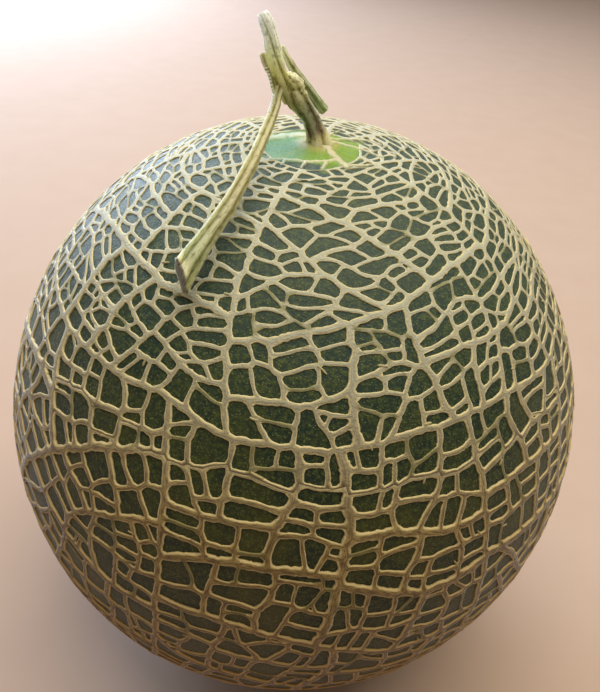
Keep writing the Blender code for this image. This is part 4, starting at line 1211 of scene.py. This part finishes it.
# Each limb: whether it is measured from the knot, its points (x, y, z, radius) in mm, its
# flatness, the side that one of its grooves is on and its twist in degrees, and its colours
LIMBS = {
    # The stalk's darkest olive, just below the knot, is partly its own colour and partly painted shade
    # under the fork.
    "stalk": (False, ((0.0, 0.0, -1.2, 3.9), (0.0, 0.0, 0.2, 3.3), (-0.05, -0.05, 1.2, 2.6),
                      (-0.5, -0.1, 2.7, 2.0), (-1.4, -0.4, 4.6, 1.8), (-2.3, -1.1, 6.5, 1.7),
                      (-3.7, -2.2, 8.5, 1.75), (-5.2, -3.3, 10.6, 1.95), (-6.1, -3.8, 12.4, 1.4)),
              1.0, (80, 40),
              ("#E6DE98", "#E6DC96", "#D6CA86", "#6E4A24", "#573C1C", "#625828", "#505218", "#54581A",
               "#76762A", "#95944A", "#A5A352")),
    "knob": (True, ((0.2, 0.8, 2.8, 0.6), (1.0, 0.5, 2.1, 0.95), (2.0, 0.4, 1.4, 1.15),
                    (2.6, 0.6, 0.5, 1.05), (2.5, 0.9, -0.6, 0.9)), 1.0, (0, 0),
             ("#C9C892", "#DDDBB0", "#D2CE9E", "#C6C48C", "#A8A65C")),
    # The pale arm's near-white tones towards its tip are partly its own pale colour and partly a painted
    # glow of light shining through it from behind.
    "pale_arm": (True, ((1.0, 0.5, -2.6, 1.2), (-0.6, 0.3, 0.8, 1.65), (-1.6, 0.6, 3.0, 1.7),
                        (-2.7, 1.2, 6.0, 1.5), (-3.6, 1.8, 9.0, 1.4), (-4.8, 2.2, 11.7, 1.4),
                        (-5.4, 2.4, 12.7, 1.05)), 0.75, (125, -70),
                 ("#8E8A3E", "#A8A552", "#B8B85C", "#DCE2B0", "#EBF6DE", "#F2FFF6", "#F6FFFC")),
    "stub": (True, ((-1.4, -0.6, -1.0, 0.8), (-2.0, -0.4, -0.1, 0.75), (-2.9, -0.2, 2.3, 0.62),
                    (-4.2, 0.3, 4.5, 0.68), (-4.8, 0.8, 6.1, 0.75)), 1.0, (120, 0),
             ("#9FA060", "#8E8A4E", "#7A6A38", "#8A7C40", "#9A8E4E")),
    "back_arm": (True, ((-1.3, 4.5, 6.9, 0.45), (-0.8, 4.2, 5.6, 0.6), (1.6, 3.4, 2.4, 0.85),
                        (4.9, 3.6, -1.2, 0.95), (8.0, 5.2, -5.1, 1.05)), 1.0, (62, 0),
                 ("#8F8A56", "#77753E", "#5F6A30", "#587034", "#6E8F3C")),
    "long_arm": (True, ((-0.9, 0.0, 0.8, 1.0), (-1.5, -1.5, -1.1, 0.95), (-1.7, -3.5, -2.5, 1.0),
                        (-2.4, -7.2, -4.4, 1.05), (-3.3, -11.6, -6.2, 1.05), (-4.6, -17.6, -8.6, 1.2),
                        (-7.6, -26.4, -13.2, 1.5), (-11.6, -34.0, -18.0, 1.85),
                        (-13.6, -37.4, -20.8, 2.15), (-14.6, -39.6, -23.2, 2.0)), 0.72, (90, 25),
                 ("#8F8A4A", "#9A9450", "#A29C52", "#9C9448", "#93893F", "#8A8A40", "#7E8B3E",
                  "#98A052")),
}
CUT_PLACE = np.array([-14.3, -37.6, -21.2])      # the long arm's cut face, from the knot
CUT_FACING = np.array([-0.84, -0.54, 0.02])
# The cut face's near-black brown is partly its dried inside and partly painted shade, as it faces away
# from the light.
CUT_TONE, FLAP_TONE = "#2F2009", "#DEDCA4"
BRISTLES = ((-4.1, -0.4, 3.8), (-3.2, -0.8, 1.6), (-2.5, -1.6, -0.5), (-2.45, -2.7, -1.4),
            (-2.5, -4.0, -2.1), (-2.8, -5.7, -3.0))     # a row of short ones, from the knot
BRISTLE_COUNT, BRISTLE_REACH, BRISTLE_HEIGHT = 19, 0.65, 0.16
BRISTLE_TONE, PIT_TONE = "#E6ECD2", "#35331A"
KNOB_BUMP, KNOB_BUMP_SIZE = 1.0, 0.11            # size and height of the knob's bumps, in mm


def rib_height(angles, share, groove):
    """Height of the ribs at angles round a limb, from -1 in a groove to 1 on a rib."""
    side, twist = math.radians(groove[0]), math.radians(groove[1])
    return 2.0 * np.abs(np.sin(0.5 * RIBS * (angles - side - twist * (share - 0.5)))) ** 0.8 - 1.0


def curve_through(points, spacing):
    """Places at about a spacing along a smooth curve through points, radius included."""
    points = [np.array(p, float) for p in points]
    padded = [2 * points[0] - points[1]] + points + [2 * points[-1] - points[-2]]
    result = []
    for p0, p1, p2, p3 in zip(padded, padded[1:], padded[2:], padded[3:]):
        count = max(2, math.ceil(math.dist(p1[:3], p2[:3]) / spacing))
        for t in np.arange(count) / count:
            result.append(0.5 * (2 * p1 + (p2 - p0) * t + (2 * p0 - 5 * p1 + 4 * p2 - p3) * t * t
                                 + (3 * p1 - p0 - 3 * p2 + p3) * t ** 3))
    result.append(points[-1])
    return np.array(result)


vertices, faces = [], []
spine = []                     # middle, side, other side, radius, share and limb at each ring
for number, (name, (forked, points, flatness, groove, tones)) in enumerate(LIMBS.items()):
    origin = KNOT if forked else np.array([0.0, 0.0, STALK_END])
    places = curve_through([(*(origin + p[:3]), p[3]) for p in points], STEM_STEP)
    path, radii = places[:, :3], places[:, 3]
    tangents = np.gradient(path, axis=0)
    tangents /= np.linalg.norm(tangents, axis=1, keepdims=True)
    side = np.cross(tangents[0], FACING)
    rings = []
    angles = 2.0 * math.pi * np.arange(STEM_AROUND) / STEM_AROUND
    for k, (centre, tangent, radius) in enumerate(zip(path, tangents, radii)):
        side = unit(side - tangent * (side @ tangent))
        other = np.cross(tangent, side)
        share = k / (len(path) - 1)
        fine = FINE_DEPTH * np.cos(FINE_RIBS * angles + 2.0 * math.sin(5.0 * share))
        uneven = SLOW_UNEVENNESS * math.sin(9.0 * share + number)
        uneven += QUICK_UNEVENNESS * math.sin(31.0 * share)
        reach = radius * (1.0 + RIB_DEPTH * rib_height(angles, share, groove) + fine + uneven)
        ring = (centre + (reach * np.cos(angles))[:, None] * side
                + (reach * flatness * np.sin(angles))[:, None] * other)
        if name == "long_arm":
            beyond = np.maximum((ring - KNOT - CUT_PLACE) @ CUT_FACING, 0.0)
            ring = ring - tangent * (beyond / (tangent @ CUT_FACING))[:, None]
        rings.append(list(range(len(vertices), len(vertices) + STEM_AROUND)))
        vertices += list(ring * MM)
        spine.append((centre, side, other, radius, share, number))
    for before, after in zip(rings, rings[1:]):
        for i in range(STEM_AROUND):
            j = (i + 1) % STEM_AROUND
            faces.append((before[i], before[j], after[j], after[i]))
    faces += [tuple(rings[0][::-1]), tuple(rings[-1])]

# Dried fibrous stalk: dull and a little translucent, as plant tissue is, with pale ribs, dark
# grooves, small dark spots and fibres along each limb, drawn about 0.3 mm across.
stem_material, tree, shader = new_material("dried_ribbed_stalk", Roughness=0.66, IOR=1.45,
                                            Subsurface_Weight=0.7, Subsurface_Scale=4.0 * MM,
                                            Subsurface_Radius=(1.0, 1.0, 0.8))
place = add(tree, "ShaderNodeTexCoord").outputs["Object"]
tone = add(tree, "ShaderNodeAttribute", attribute_name="tone").outputs["Color"]
fibre_place = add(tree, "ShaderNodeAttribute", attribute_name="fibre").outputs["Vector"]
ridge = add(tree, "ShaderNodeAttribute", attribute_name="ridge").outputs["Fac"]
fibres = add(tree, "ShaderNodeTexNoise", {"Vector": fibre_place, "Scale": 3.2, "Detail": 4.0,
                                          "Roughness": 0.62})
fibre = add(tree, "ShaderNodeMapRange", {"Value": fibres.outputs[0], "From Min": 0.36,
                                         "From Max": 0.64})
dark = add(tree, "ShaderNodeMix", {0: 0.74, 6: tone, 7: colour("#453A16")}, data_type="RGBA")
light = add(tree, "ShaderNodeMix", {0: 0.50, 6: tone, 7: colour("#F4F5DE")}, data_type="RGBA")
groove = add(tree, "ShaderNodeMapRange", {"Value": ridge, "From Min": 0.20, "From Max": -0.7,
                                          "To Max": 0.95})
crest_mix = add(tree, "ShaderNodeMapRange", {"Value": ridge, "From Min": 0.25, "From Max": 0.95,
                                             "To Max": 0.75})
shaded = add(tree, "ShaderNodeMix", {0: groove.outputs[0], 6: tone, 7: dark.outputs[2]},
             data_type="RGBA")
ridged = add(tree, "ShaderNodeMix", {0: crest_mix.outputs[0], 6: shaded.outputs[2],
                                     7: light.outputs[2]}, data_type="RGBA")
streak_mix = add(tree, "ShaderNodeMath", {0: fibre.outputs[0], 1: 0.45}, operation="MULTIPLY")
streaked = add(tree, "ShaderNodeMix", {0: streak_mix.outputs[0], 6: ridged.outputs[2],
                                       7: light.outputs[2]}, data_type="RGBA")
torn = add(tree, "ShaderNodeMapRange", {"Value": fibres.outputs[0], "From Min": 0.45,
                                        "From Max": 0.33, "To Max": 0.65})
spots = add(tree, "ShaderNodeTexNoise", {"Vector": place, "Scale": 1.0 / (1.1 * MM), "Detail": 3.0})
spot = add(tree, "ShaderNodeMapRange", {"Value": spots.outputs[0], "From Min": 0.56,
                                        "From Max": 0.70, "To Max": 0.6})
stalk_tone = streaked
for amount in (torn, spot):
    stalk_tone = add(tree, "ShaderNodeMix", {0: amount.outputs[0], 6: stalk_tone.outputs[2],
                                             7: dark.outputs[2]}, data_type="RGBA")
tree.links.new(stalk_tone.outputs[2], shader.inputs["Base Color"])
bump = add(tree, "ShaderNodeBump", {"Height": fibres.outputs[0], "Strength": 0.7,
                                    "Distance": 0.2 * MM})
tree.links.new(bump.outputs[0], shader.inputs["Normal"])

stem = new_piece("dried_stem", [tuple(v) for v in vertices], faces, stem_material)
join = stem.modifiers.new("join", "REMESH")
join.mode = "VOXEL"
join.voxel_size = STEM_VOXEL
soften = stem.modifiers.new("soften", "SMOOTH")
soften.factor = 0.5
soften.iterations = 2
make_plain(stem)
stem.data.materials.clear()
stem.data.materials.append(stem_material)

# Which limb each point of the joined stem is on, how far along it, and on a rib or between two
points = np.empty(3 * len(stem.data.vertices), np.float32)
stem.data.vertices.foreach_get("co", points)
points = points.reshape(-1, 3) / MM
centres = np.array([s[0] for s in spine])
radii = np.array([s[3] for s in spine])
tone_here = np.zeros((len(points), 4))
fibre_here = np.zeros((len(points), 3))
ridge_here = np.zeros(len(points))
weight_total = np.zeros(len(points))
nearest_gap = np.full(len(points), 1e9)
for number, (name, (_, _, flatness, groove, tones)) in enumerate(LIMBS.items()):
    mine = [k for k, s in enumerate(spine) if s[5] == number]
    gaps = np.linalg.norm(points[:, None] - centres[mine][None], axis=2)
    best = gaps.argmin(axis=1)
    gap = gaps[np.arange(len(points)), best] / radii[mine][best]
    share = np.array([spine[k][4] for k in mine])[best]
    sides = np.array([spine[k][1] for k in mine])[best]
    others = np.array([spine[k][2] for k in mine])[best]
    offset = points - centres[mine][best]
    across, up = (offset * sides).sum(axis=1), (offset * others).sum(axis=1)
    angle = np.arctan2(up / flatness, across)
    reach = np.hypot(up / flatness, across) / radii[mine][best]
    ramp = np.array([colour(code) for code in tones])
    spot = share * (len(ramp) - 1)
    low = np.minimum(spot.astype(int), len(ramp) - 2)
    here = ramp[low] + (ramp[low + 1] - ramp[low]) * (spot - low)[:, None]
    weight = np.exp(-BLEND_PACE * np.maximum(gap - BLEND_START, 0.0)) + 1e-12
    tone_here += weight[:, None] * here
    weight_total += weight
    if name == "knob":
        nearest_knob = gap - 1.0
    nearer = gap < nearest_gap
    nearest_gap = np.where(nearer, gap, nearest_gap)
    length = share * len(mine) * STEM_STEP
    on_fibres = np.stack([across + FIBRES_APART * number, up, FIBRE_STRETCH * length], axis=1)
    fibre_here[nearer] = on_fibres[nearer]
    worn = PALE_ARM_WEAR * soft_step(0.6, 0.95, share) * (name == "pale_arm")
    rib_strength = (1.0 - worn) * (reach > CUT_FACE)
    ridge_here[nearer] = (rib_strength * rib_height(angle, share, groove))[nearer]
tone_here /= weight_total[:, None]
at_cut = points - KNOT - CUT_PLACE
from_cut = at_cut @ CUT_FACING
near_cut = np.linalg.norm(at_cut, axis=1) < CUT_REACH_MM
on_cut = soft_step(-0.45, -0.15, from_cut) * near_cut
flap = soft_step(-1.6, -0.6, from_cut) * soft_step(0.2, 1.2, at_cut[:, 2]) * near_cut
from_row, along_row = distance_to_line(points - KNOT, np.array(BRISTLES))
row_wave = np.sin(2.0 * math.pi * BRISTLE_COUNT * along_row)
on_row = soft_step(BRISTLE_REACH, 0.4 * BRISTLE_REACH, from_row)
bristle, pit = on_row * soft_step(-0.2, 0.5, row_wave), on_row * soft_step(-0.3, -0.8, row_wave)
for amount, code in ((flap, FLAP_TONE), (on_cut, CUT_TONE), (bristle, BRISTLE_TONE), (pit, PIT_TONE)):
    tone_here += amount[:, None] * (np.array(colour(code)) - tone_here)
ridge_here *= 1.0 - on_cut
tone_layer = stem.data.color_attributes.new(name="tone", type="FLOAT_COLOR", domain="POINT")
tone_layer.data.foreach_set("color", tone_here.astype(np.float32).ravel())
fibre_layer = stem.data.attributes.new("fibre", "FLOAT_VECTOR", "POINT")
fibre_layer.data.foreach_set("vector", fibre_here.astype(np.float32).ravel())
set_attribute(stem, "ridge", ridge_here)
normals = np.empty(3 * len(stem.data.vertices), np.float32)
stem.data.vertices.foreach_get("normal", normals)
on_knob = soft_step(0.9, 0.4, nearest_knob)
bumps = KNOB_BUMP_SIZE * on_knob * ripple(points, KNOB_BUMP, 17) + BRISTLE_HEIGHT * (bristle - pit)
points = (points + bumps[:, None] * normals.reshape(-1, 3)) * MM
stem.data.vertices.foreach_set("co", points.astype(np.float32).ravel())
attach(stem, "root")
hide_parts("stem")

# The floor
# A plain pale sheet of paper that the fruit rests on. It isn't part of the object, and it lies
# loose under it.

FLOOR_HALF = 3.0               # half its side, in metres

# Uncoated paper: quite dull, in one tone with faint clouds of 25 mm
floor_material, tree, shader = new_material("pale_paper", Roughness=0.9)
place = add(tree, "ShaderNodeTexCoord").outputs["Object"]
paper = add(tree, "ShaderNodeTexNoise", {"Vector": place, "Scale": 1.0 / (25.0 * MM)})
paper_colour = add(tree, "ShaderNodeMix", {0: paper.outputs[0], 6: colour("#B49C8C"),
                                           7: colour("#BAA393")}, data_type="RGBA")
tree.links.new(paper_colour.outputs[2], shader.inputs["Base Color"])
corners = [(-FLOOR_HALF, -FLOOR_HALF, 0.0), (FLOOR_HALF, -FLOOR_HALF, 0.0),
           (FLOOR_HALF, FLOOR_HALF, 0.0), (-FLOOR_HALF, FLOOR_HALF, 0.0)]
floor = new_piece("floor", corners, [(0, 1, 2, 3)], floor_material)

# The light
# A large warm soft light almost overhead, a cooler one behind and to the left, and a weak warm
# fill from all round.

def soft_light(name, place, size, power, tint):
    """A square light of this size in metres and power in watts, aimed at the fruit's middle."""
    light = bpy.data.lights.new(name, "AREA")
    light.size = size
    light.energy = power
    light.color = colour(tint)[:3]
    lamp = bpy.data.objects.new(name, light)
    bpy.context.scene.collection.objects.link(lamp)
    forward = unit(np.array([0.0, 0.0, MIDDLE]) - np.array(place))
    right = unit(np.cross(forward, [0.0, 0.0, 1.0]))
    up = np.cross(right, forward)
    turn = np.eye(4)
    turn[:3, 0], turn[:3, 1], turn[:3, 2], turn[:3, 3] = right, up, -forward, place
    lamp.matrix_world = Matrix(turn.tolist())


soft_light("overhead", (0.12, 0.16, 1.05), 1.0, 14.5, "#FFF5E2")
soft_light("behind_left", (-0.75, 1.05, 0.38), 0.9, 33.0, "#D2E3FC")
world = bpy.data.worlds.new("soft_room")
bpy.context.scene.world = world
world.use_nodes = True
world.node_tree.nodes["Background"].inputs["Color"].default_value = colour("#FFEFD6")
world.node_tree.nodes["Background"].inputs["Strength"].default_value = 0.20
bpy.context.scene.view_settings.view_transform = "Standard"

# The camera
# It looks down on the fruit from close by, as the photograph does. Angles are in degrees,
# and the image is taken as 600 by 692 pixels.

IMAGE_HEIGHT = 692
FOCAL_PIXELS = 620
SENSOR = 36.0
DISTANCE = 2.44 * (EQUATOR_RADIUS + 0.6 * MM)      # 2.44 radii, net included
LOOKING_DOWN, ROLL = math.radians(43.4), math.radians(5.3)
TURN_RIGHT, TURN_UP = math.radians(0.5), math.radians(4.7)

seen_from = DISTANCE * np.array([0.0, -math.cos(LOOKING_DOWN), math.sin(LOOKING_DOWN)])
forward = unit(-seen_from)
right = np.array([1.0, 0.0, 0.0])
up = np.cross(right, forward)
right, up = (math.cos(ROLL) * right + math.sin(ROLL) * up,
             math.cos(ROLL) * up - math.sin(ROLL) * right)
forward = unit(forward + math.tan(TURN_RIGHT) * right + math.tan(TURN_UP) * up)
right = unit(right - (right @ forward) * forward)
up = np.cross(right, forward)
lens = bpy.data.cameras.new("camera")
lens.sensor_fit = "VERTICAL"
lens.sensor_height = SENSOR
lens.lens = FOCAL_PIXELS * SENSOR / IMAGE_HEIGHT
lens.clip_start = 0.01
camera = bpy.data.objects.new("camera", lens)
bpy.context.scene.collection.objects.link(camera)
turn = np.eye(4)
turn[:3, 0], turn[:3, 1], turn[:3, 2] = right, up, -forward
turn[:3, 3] = seen_from + np.array([0.0, 0.0, MIDDLE])
camera.matrix_world = Matrix(turn.tolist())
bpy.context.scene.camera = camera
